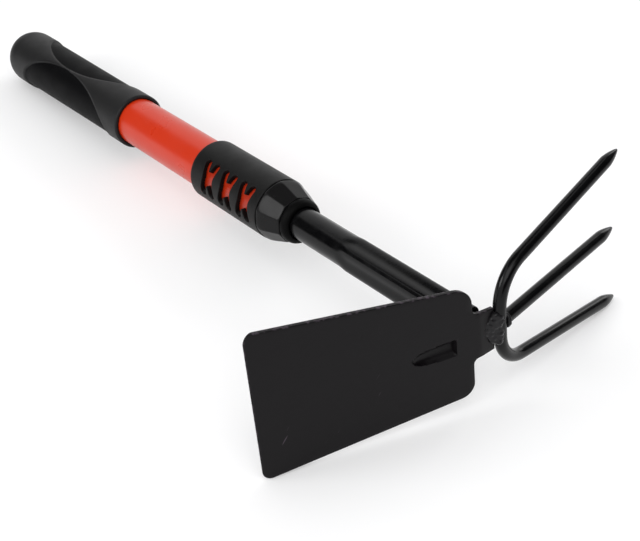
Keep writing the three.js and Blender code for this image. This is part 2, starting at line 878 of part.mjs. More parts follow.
// Weld bead round the root of the middle tine
function tineWeld() {
  const boreR = rodR + seatGap;
  const bead = latheGeometry([
    [boreR, 0],
    [tineWeldD / 2, 0],
    [tineWeldD / 2, rodR],
    [(tineWeldD / 2 + boreR) / 2, rodR + tineWeldLength / 2],
    [boreR, rodR + tineWeldLength],
  ], 2 * rodSides);
  bead.rotateZ((tineTilt - 90) * degree);
  bead.translate(forkOffset, 0, 0);
  const clear = new THREE.CylinderGeometry(boreR, boreR, forkHalfSpan, smallSides);
  clear.rotateX(90 * degree);
  clear.translate(forkOffset, 0, 0);
  const behind = new THREE.BoxGeometry(tineWeldD, 2 * tineWeldD, 2 * tineWeldD);
  behind.translate(-tineWeldD / 2, 0, 0);
  behind.rotateZ(tineTilt * degree);
  behind.translate(forkOffset + rodR / 2, 0, 0);
  return solidOf(bead).subtract(solidOf(clear)).subtract(solidOf(behind));
}

function finish(color, roughness, metalness) {
  return new THREE.MeshStandardMaterial({ color, roughness, metalness });
}

const finishes = {
  gripRubber: () => finish(0x262627, 0.75, 0),
  sleeveRubber: () => finish(0x2e302e, 0.7, 0),
  redPaint: () => finish(0xd2391f, 0.35, 0.1),
  nutPlastic: () => finish(0x1b1b1c, 0.25, 0),
  ringRubber: () => finish(0x0c0c0c, 0.45, 0),
  blackPaint: () => finish(0x1e1e20, 0.4, 0.2),
  steel: () => finish(0x8d8f92, 0.35, 0.9),
  nylon: () => finish(0xd8d6cc, 0.6, 0),
};

const pieces = [
  ['outer_tube', outerTube(), finishes.redPaint()],
  ['rear_grip', rearGrip(), finishes.gripRubber()],
  ['tube_plug', tubePlug(), finishes.nylon()],
  ['collar_core', collarCore(), finishes.nutPlastic()],
  ['collar_sleeve', collarSleeve(), finishes.sleeveRubber()],
  ['front_bush', frontBush(), finishes.nylon()],
  ['collet', collet(), finishes.nylon()],
  ['pressure_ring', pressureRing(), finishes.nylon()],
  ['lock_nut', lockNut(), finishes.nutPlastic()],
  ['nose_ring', noseRing(), finishes.ringRubber()],
  ['inner_tube', innerTube(), finishes.blackPaint()],
  ['rear_bush', rearBush(), finishes.nylon()],
  ['bush_pin', bushPin(), finishes.steel()],
  ['inner_plug', innerPlug(), finishes.nylon()],
  ['shank', shank(), finishes.steel()],
  ['neck_weld', neckWeld(), finishes.blackPaint()],
  ['hoe_blade', hoeBlade(), finishes.blackPaint()],
  ['tine_fork', tineFork(), finishes.blackPaint()],
  ['middle_tine', middleTine(), finishes.blackPaint()],
  ['fork_weld_front', forkWeld(-1), finishes.blackPaint()],
  ['fork_weld_back', forkWeld(1), finishes.blackPaint()],
  ['tine_weld', tineWeld(), finishes.blackPaint()],
];

const tool = new THREE.Group();
pieces.forEach(([name, solid, material]) => {
  const mesh = new THREE.Mesh(geometryOf(solid), material);
  mesh.name = name;
  tool.add(mesh);
});

// The origin is the middle of the bottom of the box round the tool.
const box = new THREE.Box3().setFromObject(tool, true);
const centre = box.getCenter(new THREE.Vector3());
tool.position.set(-centre.x, -centre.y, -box.min.z);

export default tool;
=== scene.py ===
import math

import bmesh
import bpy
import numpy as np
from bpy.props import FloatProperty, FloatVectorProperty, IntProperty, PointerProperty
from bpy.types import Operator, Panel, PropertyGroup
from mathutils import Matrix, Vector
from mathutils.geometry import delaunay_2d_cdt


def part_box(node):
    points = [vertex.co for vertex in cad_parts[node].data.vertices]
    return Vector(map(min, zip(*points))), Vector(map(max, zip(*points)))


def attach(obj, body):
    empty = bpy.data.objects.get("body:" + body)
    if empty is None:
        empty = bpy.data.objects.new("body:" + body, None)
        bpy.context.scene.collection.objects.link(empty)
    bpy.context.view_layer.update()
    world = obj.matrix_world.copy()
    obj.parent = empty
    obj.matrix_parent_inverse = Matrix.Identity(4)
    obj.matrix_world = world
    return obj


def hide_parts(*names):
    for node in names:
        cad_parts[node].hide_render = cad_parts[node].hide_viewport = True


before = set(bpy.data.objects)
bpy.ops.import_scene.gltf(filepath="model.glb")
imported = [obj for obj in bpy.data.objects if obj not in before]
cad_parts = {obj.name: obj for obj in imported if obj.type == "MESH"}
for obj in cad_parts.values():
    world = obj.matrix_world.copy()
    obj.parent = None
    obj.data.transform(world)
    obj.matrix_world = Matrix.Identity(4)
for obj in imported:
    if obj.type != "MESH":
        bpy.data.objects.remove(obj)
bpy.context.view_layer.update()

bl_info = {
    "name": "Double hoe",
    "version": (1, 0, 0),
    "blender": (4, 5, 0),
    "location": "View3D > Sidebar > Hoe",
    "description": "Builds the finished surfaces of a double hoe over its packed solids",
    "category": "Add Mesh",
}

# The hoe's own frame: the origin is on the shaft's axis, in the front face of the head's plate.
# The shaft runs along +Y to the grip, the tines point along +X and the blade along -X.
TUBE_LOW, TUBE_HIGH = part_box("outer_tube")
ORIGIN = Vector((
    (TUBE_LOW.x + TUBE_HIGH.x) / 2,
    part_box("hoe_blade")[0].y,
    (TUBE_LOW.z + TUBE_HIGH.z) / 2,
))


def along(node):
    """The places along the shaft where a node of the frame begins and ends."""
    low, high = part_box(node)
    return low.y - ORIGIN.y, high.y - ORIGIN.y


def radius_of(node):
    """The radius of a round node of the frame."""
    low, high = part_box(node)
    return (high.z - low.z) / 2


# Sizes and colours that a user would change


def length(name, description, default):
    return FloatProperty(name=name, description=description, default=default, unit="LENGTH", precision=5)


def angle(name, description, degrees):
    return FloatProperty(name=name, description=description, default=math.radians(degrees), subtype="ANGLE")


def share(name, description, default):
    return FloatProperty(name=name, description=description, default=default, min=0, max=1, subtype="FACTOR")


def number(name, description, default):
    return FloatProperty(name=name, description=description, default=default, min=0)


def count(name, description, default, least=1):
    return IntProperty(name=name, description=description, default=default, min=least)


def colour(name, description, *default):
    return FloatVectorProperty(
        name=name, description=description, default=default, min=0, max=1, subtype="COLOR",
    )


def spot(name, description, subtype, *default):
    return FloatVectorProperty(name=name, description=description, default=default, subtype=subtype)


class HandleSizes(PropertyGroup):
    """Sizes of the red tube and the rubber grip."""

    clearance: length("Clearance", "Gap between pieces that sit in or on one another", 0.0003)
    tube_wall: length("Tube wall", "Wall of the red tube", 0.0015)
    tube_edge: length("Tube edge", "Rounding of the red tube's outer edges", 0.0004)
    grip_front_diameter: length("Grip front", "Diameter of the grip at its open end", 0.0328)
    grip_rear_diameter: length("Grip rear", "Diameter of the grip before its dome", 0.034)
    grip_end_wall: length("Grip end wall", "Rubber behind the end of the tube", 0.0074)
    dome_length: length("Dome length", "Length of the rounded end", 0.015)
    dome_flat: length("Dome flat", "Diameter of the flat in the middle of the dome", 0.007)
    rim_radius: length("Rim radius", "Rounding of the grip's open end", 0.0012)
    leaf_start: length("Leaf start", "From the grip's open end to the leaf panels", 0.017)
    leaf_length: length("Leaf length", "Length of each leaf panel", 0.106)
    leaf_depth: length("Leaf depth", "How deep the leaf panels are sunk", 0.0009)
    leaf_edge: length("Leaf edge", "Width of the slope round a leaf panel", 0.0016)
    leaf_half_angle: angle("Leaf half angle", "Half of what a panel takes up round the grip", 86)
    leaf_turn: angle("Leaf turn", "Where the first panel stands round the grip", 27)
    leaf_widest: share("Leaf widest", "Where along it a panel is widest", 0.53)


class CollarSizes(PropertyGroup):
    """Sizes of the rubber sleeve, the lock nut and the nose ring."""

    rim_radius: length("Sleeve rim", "Rounding of the sleeve's rear rim", 0.0015)
    front_edge: length("Sleeve front edge", "Rounding of the sleeve's front edge", 0.0003)
    window_rows: count("Window rows", "Windows in line along the sleeve", 3)
    window_columns: count("Window columns", "Lines of windows round the sleeve", 2)
    window_pitch: length("Window pitch", "From one window to the next", 0.0169)
    window_first: length("First window", "From the rear rim to the middle of the first window", 0.0168)
    window_height: length("Window height", "Height of a window, seen straight on", 0.0198)
    window_width: length("Window width", "Width of a window along the shaft", 0.0134)
    window_waist: length("Window waist", "Width of the X at its middle", 0.0088)
    notch_width: length("Notch width", "Width of the notch between two arms, at their ends", 0.0042)
    notch_depth: length("Notch depth", "How far the notch runs in", 0.0074)
    arm_rounding: length("Arm rounding", "Radius of the corners of the arms", 0.0021)
    waist_rounding: length("Waist rounding", "Radius of the X's sides at the waist", 0.009)
    notch_rounding: length("Notch rounding", "Radius at the inner end of the notch", 0.0006)
    window_lip: length("Window lip", "Rounding of the window's edge", 0.0004)
    window_turn: angle("Window turn", "Where the first line of windows stands round the sleeve", 158)
    nut_flats: count("Nut flats", "Flats round the lock nut", 10, 3)
    nut_turn: angle("Nut turn", "Where the first flat stands", 4)
    nut_edge: length("Nut edge", "Chamfer of the nut's rear edge", 0.0004)
    nut_taper: length("Nut taper", "Length of the nut's rounded nose", 0.013)
    nut_front_diameter: length("Nut front", "Diameter of the nut's front face", 0.025)
    nut_front_wall: length("Nut front wall", "Plastic in front of the nut's bore", 0.0047)
    flat_rear: length("Flats at rear", "Across opposite flats, at the rear", 0.0334)
    flat_front: length("Flats at front", "Across opposite flats, at the front", 0.0244)
    flat_softness: length("Flat softness", "How softly the flats run into the round nose", 0.0017)
    nose_stem_wall: length("Nose stem wall", "Wall of the nose ring's stem inside the nut", 0.00135)
    nose_mouth: length("Nose mouth", "Diameter of the nose ring's front edge", 0.0188)
    nose_rim: length("Nose rim", "Straight part of the nose ring", 0.0012)
    nose_edge: length("Nose edge", "Chamfer of the nose ring's rear edge", 0.0002)


class HeadSizes(PropertyGroup):
    """Sizes of the fluted tube, the blade, the tines and the welds."""

    crimp_length: length("Crimp length", "Length of the pressed end of the tube", 0.0882)
    crimp_runout: length("Crimp runout", "How softly the flutes begin", 0.009)
    flutes: count("Flutes", "Flutes round the tube", 5, 2)
    flute_turn: angle("Flute turn", "Where the first flute stands", 171)
    flute_start: length("Flute start depth", "Depth of the flutes where they begin", 0.0014)
    flute_end: length("Flute end depth", "Depth of the flutes at the head", 0.0018)
    flute_rise: length("Flute rise", "How far the ridges stand out", 0.0007)
    flute_sharpness: number("Flute sharpness", "Narrows the flutes", 2)
    tube_wall: length("Tube wall", "Wall of the fluted tube", 0.0012)
    plate: length("Plate", "Thickness of the blade's plate", 0.0024)
    plate_rounding: length("Plate rounding", "Rounding of the plate's edges", 0.0004)
    blade_run: length("Blade run", "From the bend to the cutting edge", 0.1083)
    blade_tilt: angle("Blade tilt", "How far the blade leans back", 13.2)
    bend_radius: length("Bend radius", "Inner radius of the bend", 0.005)
    edge_half_width: length("Edge half width", "Half of the cutting edge", 0.0389)
    edge_corner: length("Edge corner", "Radius of the corners of the cutting edge", 0.0045)
    neck_upper: length("Neck upper", "Upper corner of the neck edge", 0.0248)
    neck_lower: length("Neck lower", "Lower corner of the neck edge", 0.0324)
    neck_offset: length("Neck offset", "From the shaft's axis to the neck edge", 0.0035)
    upper_corner: length("Upper neck corner", "Radius of the neck edge's upper corner", 0.009)
    lower_corner: length("Lower neck corner", "Radius of the neck edge's lower corner", 0.007)
    tongue_upper: length("Tongue upper", "Upper corner of the tongue's end", 0.0094)
    tongue_lower: length("Tongue lower", "Lower corner of the tongue's end", 0.0127)
    tongue_root_upper: length("Tongue root upper", "Upper edge of the tongue at the neck", 0.0108)
    tongue_root_lower: length("Tongue root lower", "Lower edge of the tongue at the neck", 0.0134)
    tongue_fillet: length("Tongue fillet", "Radius between the tongue and the neck edge", 0.003)
    bevel: length("Bevel", "Width of the ground bevel on the back", 0.005)
    edge_thickness: length("Edge thickness", "What the bevel leaves", 0.0007)
    dart_offset: length("Dart offset", "From the bend to the dart's steep end", 0.0126)
    dart_length: length("Dart length", "Length of the pressed dart", 0.0212)
    dart_half_height: length("Dart half height", "Half of the dart's height", 0.0041)
    dart_depth: length("Dart depth", "Depth of the dart", 0.003)
    dart_drop: length("Dart drop", "How far the dart stands below the axis", 0.0034)
    dart_slope: length("Dart slope", "Width of the dart's steep end", 0.0006)
    rod: length("Rod", "Diameter of the tines", 0.0062)
    fork_offset: length("Fork offset", "From the shaft's axis to the fork's base", 0.0114)
    fork_half_span: length("Fork half span", "Half of the fork's base", 0.0234)
    fork_spread: angle("Fork spread", "How far the outer tines turn outwards", 10.6)
    fork_bend: length("Fork bend", "Radius of the fork's bends", 0.0196)
    outer_tine: length("Outer tine", "Length of an outer tine", 0.0996)
    middle_tine: length("Middle tine", "Length of the middle tine", 0.095)
    tine_tilt: angle("Tine tilt", "How far the tines lean back", 12.2)
    point_length: length("Point length", "Ground length of a point", 0.011)
    point_diameter: length("Point diameter", "Diameter of a point's end", 0.0012)
    bead: length("Weld bead", "Radius of a droplet of the weld beads", 0.0022)
    bead_unevenness: share("Weld unevenness", "How far the droplets stray", 0.18)
    bead_lumps: length("Weld lumps", "Size of the lumps on a weld bead", 0.0034)
    bead_passes: count("Weld passes", "Strokes of the zigzag between tongue and fork", 13)
    bead_seed: count("Weld seed", "Changes how the droplets fall", 4, 0)


class Finishes(PropertyGroup):
    """Colours of the hoe's materials."""

    red: colour("Red enamel", "Enamel on the handle tube", 0.565, 0.029, 0.004)
    black: colour("Black lacquer", "Lacquer on the head", 0.0022, 0.0022, 0.0025)
    blade: colour("Blade lacquer", "Lacquer on the blade", 0.0034, 0.0026, 0.0034)
    weld: colour("Weld lacquer", "Lacquer on the weld beads", 0.0105, 0.0100, 0.0110)
    grip: colour("Grip rubber", "Rubber of the grip", 0.010, 0.0098, 0.0102)
    leaf: colour("Leaf rubber", "Rubber of the sunk leaf panels", 0.002, 0.002, 0.0024)
    sleeve: colour("Sleeve rubber", "Rubber of the collar's sleeve", 0.0032, 0.0031, 0.0031)
    nose: colour("Nose rubber", "Rubber of the nose ring", 0.0015, 0.0015, 0.0015)
    nut: colour("Nut plastic", "Plastic of the lock nut", 0.0080, 0.0078, 0.0080)
    nylon: colour("Nylon", "Natural nylon of the inner pieces", 0.62, 0.60, 0.53)
    steel: colour("Steel", "Bare steel inside the handle", 0.46, 0.47, 0.48)


class StageSizes(PropertyGroup):
    """The camera, the floor and the lamps."""

    eye: spot("Eye", "Camera's place in the hoe's frame", "TRANSLATION", -0.320116, -0.364756, 0.353067)
    sight: spot("Sight", "Direction in which the camera looks", "DIRECTION", 0.460957, 0.701853, -0.543067)
    right: spot("Right", "Direction of the picture's right side", "DIRECTION", 0.796590, -0.596954, -0.095348)
    lens: number("Lens", "Focal length in millimetres", 75.94)
    floor: colour("Floor", "Colour of the floor", 0.76, 0.76, 0.765)
    floor_lift: share("Floor lift", "How much paler the camera and the gloss see the floor", 0.2)
    floor_size: length("Floor size", "Side of the square floor", 8.0)
    tine_box: number("Tine box", "Power of the soft box at the tines' side", 5)
    side_box: number("Side box", "Power of the soft box at the blade's side", 4.6)
    front_box: number("Front box", "Power of the soft box above the camera", 5)
    world: number("Surroundings", "Strength of the pale surroundings", 0.76)


# Shared mesh work


def smooth(step):
    """Runs from 0 to 1 without a kink at either end."""
    return step * step * (3 - 2 * step)


def skin(rings, closed=False):
    """Points and faces of a skin through rings: closed on itself, or else open at both ends."""
    sides = len(rings[0])
    points = [Vector(point) for ring in rings for point in ring]
    faces = []
    for i in range(len(rings) if closed else len(rings) - 1):
        j = (i + 1) % len(rings)
        for k in range(sides):
            n = (k + 1) % sides
            faces.append((i * sides + k, i * sides + n, j * sides + n, j * sides + k))
    return points, faces


def capped(points, faces, sides):
    """Closes the first and the last ring of a skin by a middle point each."""
    for start in (0, len(points) - sides):
        middle = sum(points[start:start + sides], Vector()) / sides
        points.append(middle)
        faces += [(start + k, start + (k + 1) % sides, len(points) - 1) for k in range(sides)]
    return points, faces


def turned_ring(radius, place, sides):
    turns = (k * 2 * math.pi / sides for k in range(sides))
    return [Vector((radius * math.cos(turn), place, radius * math.sin(turn))) for turn in turns]


def turned(outline, sides):
    """Points and faces of a ring turned from a closed outline of (radius, place)."""
    return skin([turned_ring(radius, place, sides) for radius, place in outline], closed=True)


def quarter(radius, reach, place, run, steps):
    """A quarter ellipse: its radius falls from radius + reach to radius as it runs along the shaft."""
    turns = (math.pi / 2 * k / steps for k in range(steps + 1))
    return [Vector((radius + reach * math.cos(turn), place + run * math.sin(turn))) for turn in turns]


def filleted(corners, steps=6):
    """Points of a closed outline whose corners (x, y, fillet) are rounded."""
    points = []
    for i, (x, y, fillet) in enumerate(corners):
        corner = Vector((x, y))
        if fillet <= 0:
            points.append(corner)
            continue
        before = (Vector(corners[i - 1][:2]) - corner).normalized()
        after = (Vector(corners[(i + 1) % len(corners)][:2]) - corner).normalized()
        half = math.acos(max(-1, min(1, before.dot(after)))) / 2
        centre = corner + (before + after).normalized() * fillet / math.sin(half)
        start = corner + before * fillet / math.tan(half) - centre
        end = corner + after * fillet / math.tan(half) - centre
        first = math.atan2(start.y, start.x)
        swing = (math.atan2(end.y, end.x) - first + math.pi) % (2 * math.pi) - math.pi
        turns = (first + swing * k / steps for k in range(steps + 1))
        points += [centre + fillet * Vector((math.cos(turn), math.sin(turn))) for turn in turns]
    return points


def subdivided(outline, longest):
    """A closed outline with no side longer than a given length."""
    corners = [Vector(corner) for corner in outline]
    points = []
    for corner, after in zip(corners, corners[1:] + corners[:1]):
        parts = max(1, math.ceil((after - corner).length / longest))
        points += [corner.lerp(after, k / parts) for k in range(parts)]
    return points


def mesh_of(name, points, faces, edges=()):
    mesh = bpy.data.meshes.new(name)
    mesh.from_pydata([tuple(point) for point in points], list(edges), faces)
    return mesh


def attribute(mesh, name, values):
    """Keeps one number for each point of a mesh, which its material reads."""
    mesh.attributes.new(name, "FLOAT", "POINT").data.foreach_set("value", values)


def with_normals(mesh, merge):
    """Turns all faces outwards, after doubles are merged where that is asked for."""
    work = bmesh.new()
    work.from_mesh(mesh)
    if merge:
        bmesh.ops.remove_doubles(work, verts=work.verts, dist=1e-7)
        bmesh.ops.dissolve_degenerate(work, edges=work.edges, dist=1e-7)
    bmesh.ops.recalc_face_normals(work, faces=work.faces)
    work.to_mesh(mesh)
    work.free()


def linked(name, data):
    thing = bpy.data.objects.new(name, data)
    bpy.context.scene.collection.objects.link(thing)
    return thing


def settled(piece):
    """The plain mesh that an object's modifiers make; the object itself goes."""
    graph = bpy.context.evaluated_depsgraph_get()
    mesh = bpy.data.meshes.new_from_object(piece.evaluated_get(graph), depsgraph=graph)
    piece.modifiers.clear()
    bpy.data.objects.remove(piece)
    if not mesh.polygons:
        raise RuntimeError(f"{mesh.name} came out empty")
    return mesh


def shown(name, mesh, node, body, material=None, crease=35, recalculate=True):
    """Puts a mesh of the hoe's frame in its place as the finished piece that stands for a node."""
    if recalculate:
        with_normals(mesh, merge=True)
    mesh.transform(Matrix.Translation(ORIGIN))
    mesh.polygons.foreach_set("use_smooth", [True] * len(mesh.polygons))
    mesh.set_sharp_from_angle(angle=math.radians(crease))
    if material:
        mesh.materials.clear()
        mesh.materials.append(material)
    mesh.name = name
    piece = linked(name, mesh)
    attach(piece, body)
    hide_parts(node)


# Node wiring


class Wiring:
    """Adds nodes to a tree, with their settings and with what goes into them."""

    def __init__(self, tree):
        self.tree = tree

    def feed(self, socket, value):
        if isinstance(value, bpy.types.NodeSocket):
            self.tree.links.new(value, socket)
        else:
            socket.default_value = value

    def add(self, kind, inputs=None, **settings):
        """The outputs of a new node."""
        node = self.tree.nodes.new(kind)
        for name, value in settings.items():
            setattr(node, name, value)
        for name, value in (inputs or {}).items():
            self.feed(node.inputs[name], value)
        return node.outputs

    def math(self, operation, *values, clamp=False):
        node = self.tree.nodes.new("ShaderNodeMath")
        node.operation = operation
        node.use_clamp = clamp
        for socket, value in zip(node.inputs, values):
            self.feed(socket, value)
        return node.outputs[0]

    def range(self, value, from_min, from_max, to_min=0.0, to_max=1.0, eased=False):
        return self.add("ShaderNodeMapRange", {
            "Value": value, "From Min": from_min, "From Max": from_max, "To Min": to_min, "To Max": to_max,
        }, interpolation_type="SMOOTHSTEP" if eased else "LINEAR")[0]

    def vector(self, x=0.0, y=0.0, z=0.0):
        return self.add("ShaderNodeCombineXYZ", {"X": x, "Y": y, "Z": z})[0]

    def parts(self, vector):
        return self.add("ShaderNodeSeparateXYZ", {"Vector": vector})

    def seen(self):
        """1 for the camera and for what gloss and glass show, 0 for the light on the object."""
        path = self.add("ShaderNodeLightPath")
        mirrored = self.math("MAXIMUM", path["Is Glossy Ray"], path["Is Transmission Ray"])
        return self.math("MAXIMUM", path["Is Camera Ray"], mirrored)


class ShapeTree(Wiring):
    """A Geometry Nodes tree that takes a geometry and named sizes and gives one painted mesh."""

    def __init__(self, name, **sizes):
        super().__init__(bpy.data.node_groups.new(name, "GeometryNodeTree"))
        self.tree.is_modifier = True
        face = self.tree.interface
        face.new_socket("Geometry", in_out="OUTPUT", socket_type="NodeSocketGeometry")
        face.new_socket("Geometry", in_out="INPUT", socket_type="NodeSocketGeometry")
        for kind, labels in sizes.items():
            for label in labels.split(", "):
                face.new_socket(label, in_out="INPUT", socket_type="NodeSocket" + kind)
        face.new_socket("Finish", in_out="INPUT", socket_type="NodeSocketMaterial")
        self.given = self.tree.nodes.new("NodeGroupInput").outputs

    def moved(self, geometry, **how):
        return self.add("GeometryNodeSetPosition", {"Geometry": geometry, **how})[0]

    def laid(self, instance, points, **how):
        """One instance on each point."""
        return self.add("GeometryNodeInstanceOnPoints", {"Points": points, "Instance": instance, **how})[0]

    def position(self):
        """X, Y and Z of each point."""
        return self.parts(self.add("GeometryNodeInputPosition")[0])

    def round_the_shaft(self):
        """Angle round the shaft, distance from it and place along it, at each point."""
        x, place, z = self.position()
        square = self.math("MULTIPLY_ADD", x, x, self.math("MULTIPLY", z, z))
        return self.math("ARCTAN2", z, x), self.math("SQRT", square), place

    def put_round(self, geometry, turn, across, place):
        """Moves each point to an angle round the shaft, a distance from it and a place along it."""
        x = self.math("MULTIPLY", across, self.math("COSINE", turn))
        z = self.math("MULTIPLY", across, self.math("SINE", turn))
        return self.moved(geometry, Position=self.vector(x, place, z))

    def finish(self, geometry):
        real = self.add("GeometryNodeRealizeInstances", {"Geometry": geometry})[0]
        painted = self.add("GeometryNodeSetMaterial", {"Geometry": real, "Material": self.given["Finish"]})
        result = self.tree.nodes.new("NodeGroupOutput")
        self.feed(result.inputs["Geometry"], painted[0])
        return self

    def grown(self, mesh, values, wall=None):
        """The plain mesh that the tree makes of a mesh, with these values for its named inputs."""
        piece = linked(mesh.name, mesh)
        modifier = piece.modifiers.new(self.tree.name, "NODES")
        modifier.node_group = self.tree
        for item in self.tree.interface.items_tree:
            if item.in_out == "INPUT" and item.name in values:
                modifier[item.identifier] = values[item.name]
        if wall:
            solid = piece.modifiers.new("Wall", "SOLIDIFY")
            solid.thickness = wall
            solid.offset = -1
            solid.use_even_offset = True
        return settled(piece)


# Finishes


def shaded(tint, factor):
    return (*(min(1, part * factor) for part in tint), 1)


class Finish(Wiring):
    """A procedural material, whose patterns lie in object coordinates."""

    def __init__(self, name, roughness, metallic=0.0, level=0.5):
        self.material = bpy.data.materials.new(name)
        self.material.use_nodes = True
        super().__init__(self.material.node_tree)
        self.shader = self.tree.nodes["Principled BSDF"].inputs
        self.shader["Metallic"].default_value = metallic
        self.shader["Specular IOR Level"].default_value = level
        self.place = self.add("ShaderNodeTexCoord")["Object"]
        self.roughness = roughness
        self.relief = None

    def cloud(self, scale, detail=3.0, roughness=0.55, stretch=None, turn=(0, 0, 0)):
        """Soft random patches; scale is how many there are in a metre."""
        place = self.place
        if stretch:
            turned_place = self.add("ShaderNodeMapping", {"Vector": place, "Rotation": turn})[0]
            place = self.add("ShaderNodeMapping", {"Vector": turned_place, "Scale": stretch})[0]
        return self.add("ShaderNodeTexNoise", {
            "Vector": place, "Scale": scale, "Detail": detail, "Roughness": roughness,
        })["Fac"]

    def blend(self, factor, one, other):
        node = self.tree.nodes.new("ShaderNodeMix")
        node.data_type = "RGBA"
        first_colour, second_colour = node.inputs[6], node.inputs[7]
        self.feed(node.inputs["Factor"], factor)
        self.feed(first_colour, one)
        self.feed(second_colour, other)
        return node.outputs[2]

    def patches(self, tint, darker, lighter, pattern):
        """A tint that a pattern varies between a darker and a lighter shade."""
        return self.blend(pattern, shaded(tint, darker), shaded(tint, lighter))

    def emboss(self, height, depth, strength):
        """Adds a relief of a given depth in metres."""
        inputs = {"Height": height, "Distance": depth, "Strength": strength}
        if self.relief:
            inputs["Normal"] = self.relief
        self.relief = self.add("ShaderNodeBump", inputs)[0]

    def attribute(self, name):
        return self.add("ShaderNodeAttribute", attribute_name=name)["Fac"]

    def done(self, tint, gloss=None, spread=0.0):
        """The material with its tint, and with a pattern that spreads its roughness."""
        rough = self.roughness
        if gloss:
            rough = self.range(gloss, 0.3, 0.7, self.roughness - spread, self.roughness + spread)
        self.feed(self.shader["Base Color"], tint)
        self.feed(self.shader["Roughness"], rough)
        if self.relief:
            self.feed(self.shader["Normal"], self.relief)
        return self.material


def red_enamel(tints):
    """Enamel, darker as painted shade where the collar's sleeve covers it."""
    paint = Finish("red_enamel", 0.3, level=0.36)
    paint.emboss(paint.cloud(220, 1), 0.00003, 0.2)
    tint = paint.patches(tints.red, 0.94, 1.06, paint.cloud(35, 4))
    sleeve_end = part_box("collar_sleeve")[1].y
    # Painted shade: the red under the sleeve, seen through its windows, is blended towards a darker red.
    sleeve_painted_shade = paint.range(paint.parts(paint.place)["Y"], sleeve_end - 0.002, sleeve_end, 0.75, 0.0)
    return paint.done(paint.blend(sleeve_painted_shade, tint, shaded(tints.red, 0.55)), paint.cloud(60, 3), 0.04)


def black_lacquer(tint, name="black_lacquer", lumps=0.00004):
    paint = Finish(name, 0.2, level=0.2)
    paint.emboss(paint.cloud(900, 3), lumps, 0.6)
    paint.emboss(paint.cloud(160, 2), 0.0001, 0.35)
    patched = paint.patches(tint, 0.75, 1.35, paint.cloud(50, 4))
    return paint.done(patched, paint.cloud(90, 3), 0.07)


def blade_lacquer(tints):
    """Lacquer with faint streaks, scuffs, a few scratches and worn edges."""
    paint = Finish("blade_lacquer", 0.36, level=0.16)
    streaks = paint.cloud(90, 6, 0.6, stretch=(0.25, 1, 2.2), turn=(0, 0.35, 0))
    scuffs = paint.range(paint.cloud(260, 5, 0.7), 0.66, 0.74)
    scratches = paint.range(paint.cloud(620, 1, 0.5, stretch=(1, 0.3, 0.08), turn=(0, -0.6, 0)), 0.76, 0.82)
    worn = paint.math("MULTIPLY", paint.attribute("rim"), paint.range(paint.cloud(400, 4), 0.48, 0.6))
    tint = paint.patches(tints.blade, 0.8, 1.25, streaks)
    for factor, brighter in (
        (paint.math("MULTIPLY", scuffs, 0.5), 3), (scratches, 16), (paint.math("MULTIPLY", worn, 0.6), 22),
    ):
        tint = paint.blend(factor, tint, shaded(tints.blade, brighter))
    paint.emboss(paint.cloud(800, 3), 0.00003, 0.5)
    paint.emboss(streaks, 0.00015, 0.3)
    return paint.done(tint, streaks, 0.08)


def grip_rubber(tints, name, level):
    """Grained rubber, darker where the attribute leaf says that a panel is sunk."""
    rubber = Finish(name, 0.5, level=level)
    rubber.emboss(rubber.cloud(2600, 2, 0.7), 0.00006, 0.6)
    rubber.emboss(rubber.cloud(120, 3), 0.0001, 0.25)
    band = rubber.patches(tints.grip, 0.85, 1.15, rubber.cloud(45, 4))
    panel = rubber.patches(tints.leaf, 0.85, 1.15, rubber.cloud(45, 4))
    return rubber.done(rubber.blend(rubber.attribute("leaf"), band, panel), rubber.cloud(80, 3), 0.05)


def sleeve_rubber(tints):
    rubber = Finish("sleeve_rubber", 0.5, level=0.2)
    rubber.emboss(rubber.cloud(2600, 2, 0.7), 0.00006, 0.6)
    tint = rubber.patches(tints.sleeve, 0.85, 1.15, rubber.cloud(60, 4))
    return rubber.done(tint, rubber.cloud(80, 3), 0.05)


def nose_rubber(tints):
    rubber = Finish("nose_rubber", 0.5, level=0.06)
    rubber.emboss(rubber.cloud(2000, 2, 0.7), 0.00004, 0.5)
    tint = rubber.patches(tints.nose, 0.8, 1.3, rubber.cloud(120, 3))
    return rubber.done(tint, rubber.cloud(90, 3), 0.05)


def nut_plastic(tints):
    plastic = Finish("nut_plastic", 0.24, level=0.115)
    plastic.emboss(plastic.cloud(1500, 2), 0.00002, 0.5)
    plastic.emboss(plastic.cloud(130, 2), 0.0001, 0.3)
    tint = plastic.patches(tints.nut, 0.85, 1.2, plastic.cloud(80, 3))
    return plastic.done(tint, plastic.cloud(110, 3), 0.06)


def natural_nylon(tints):
    nylon = Finish("natural_nylon", 0.45)
    nylon.emboss(nylon.cloud(900, 2), 0.00003, 0.4)
    tint = nylon.patches(tints.nylon, 0.93, 1.04, nylon.cloud(90, 3))
    return nylon.done(tint, nylon.cloud(70, 3), 0.06)


def bare_steel(tints):
    steel = Finish("bare_steel", 0.36, metallic=1.0)
    drawn = steel.cloud(300, 5, 0.6, stretch=(1, 0.05, 1))
    steel.emboss(drawn, 0.00002, 0.5)
    return steel.done(steel.patches(tints.steel, 0.8, 1.1, drawn), drawn, 0.08)


def floor_paper(sizes):
    """Pale paper, which the camera and the gloss see a little paler than it lights the object."""
    paper = Finish("floor_paper", 0.8, level=0.2)
    paper.shader["Emission Color"].default_value = (1, 1, 1, 1)
    paper.feed(paper.shader["Emission Strength"], paper.math("MULTIPLY", paper.seen(), sizes.floor_lift))
    return paper.done(paper.patches(sizes.floor, 0.99, 1.01, paper.cloud(2, 2)))


def card_black():
    # Painted dark reflection: a near-black finish for cards that only the hoe's gloss shows.
    card = Finish("card_black", 0.9, level=0.0)
    return card.done(card.blend(card.cloud(5, 2), (0.001, 0.001, 0.001, 1), (0.002, 0.002, 0.002, 1)))


# Handle


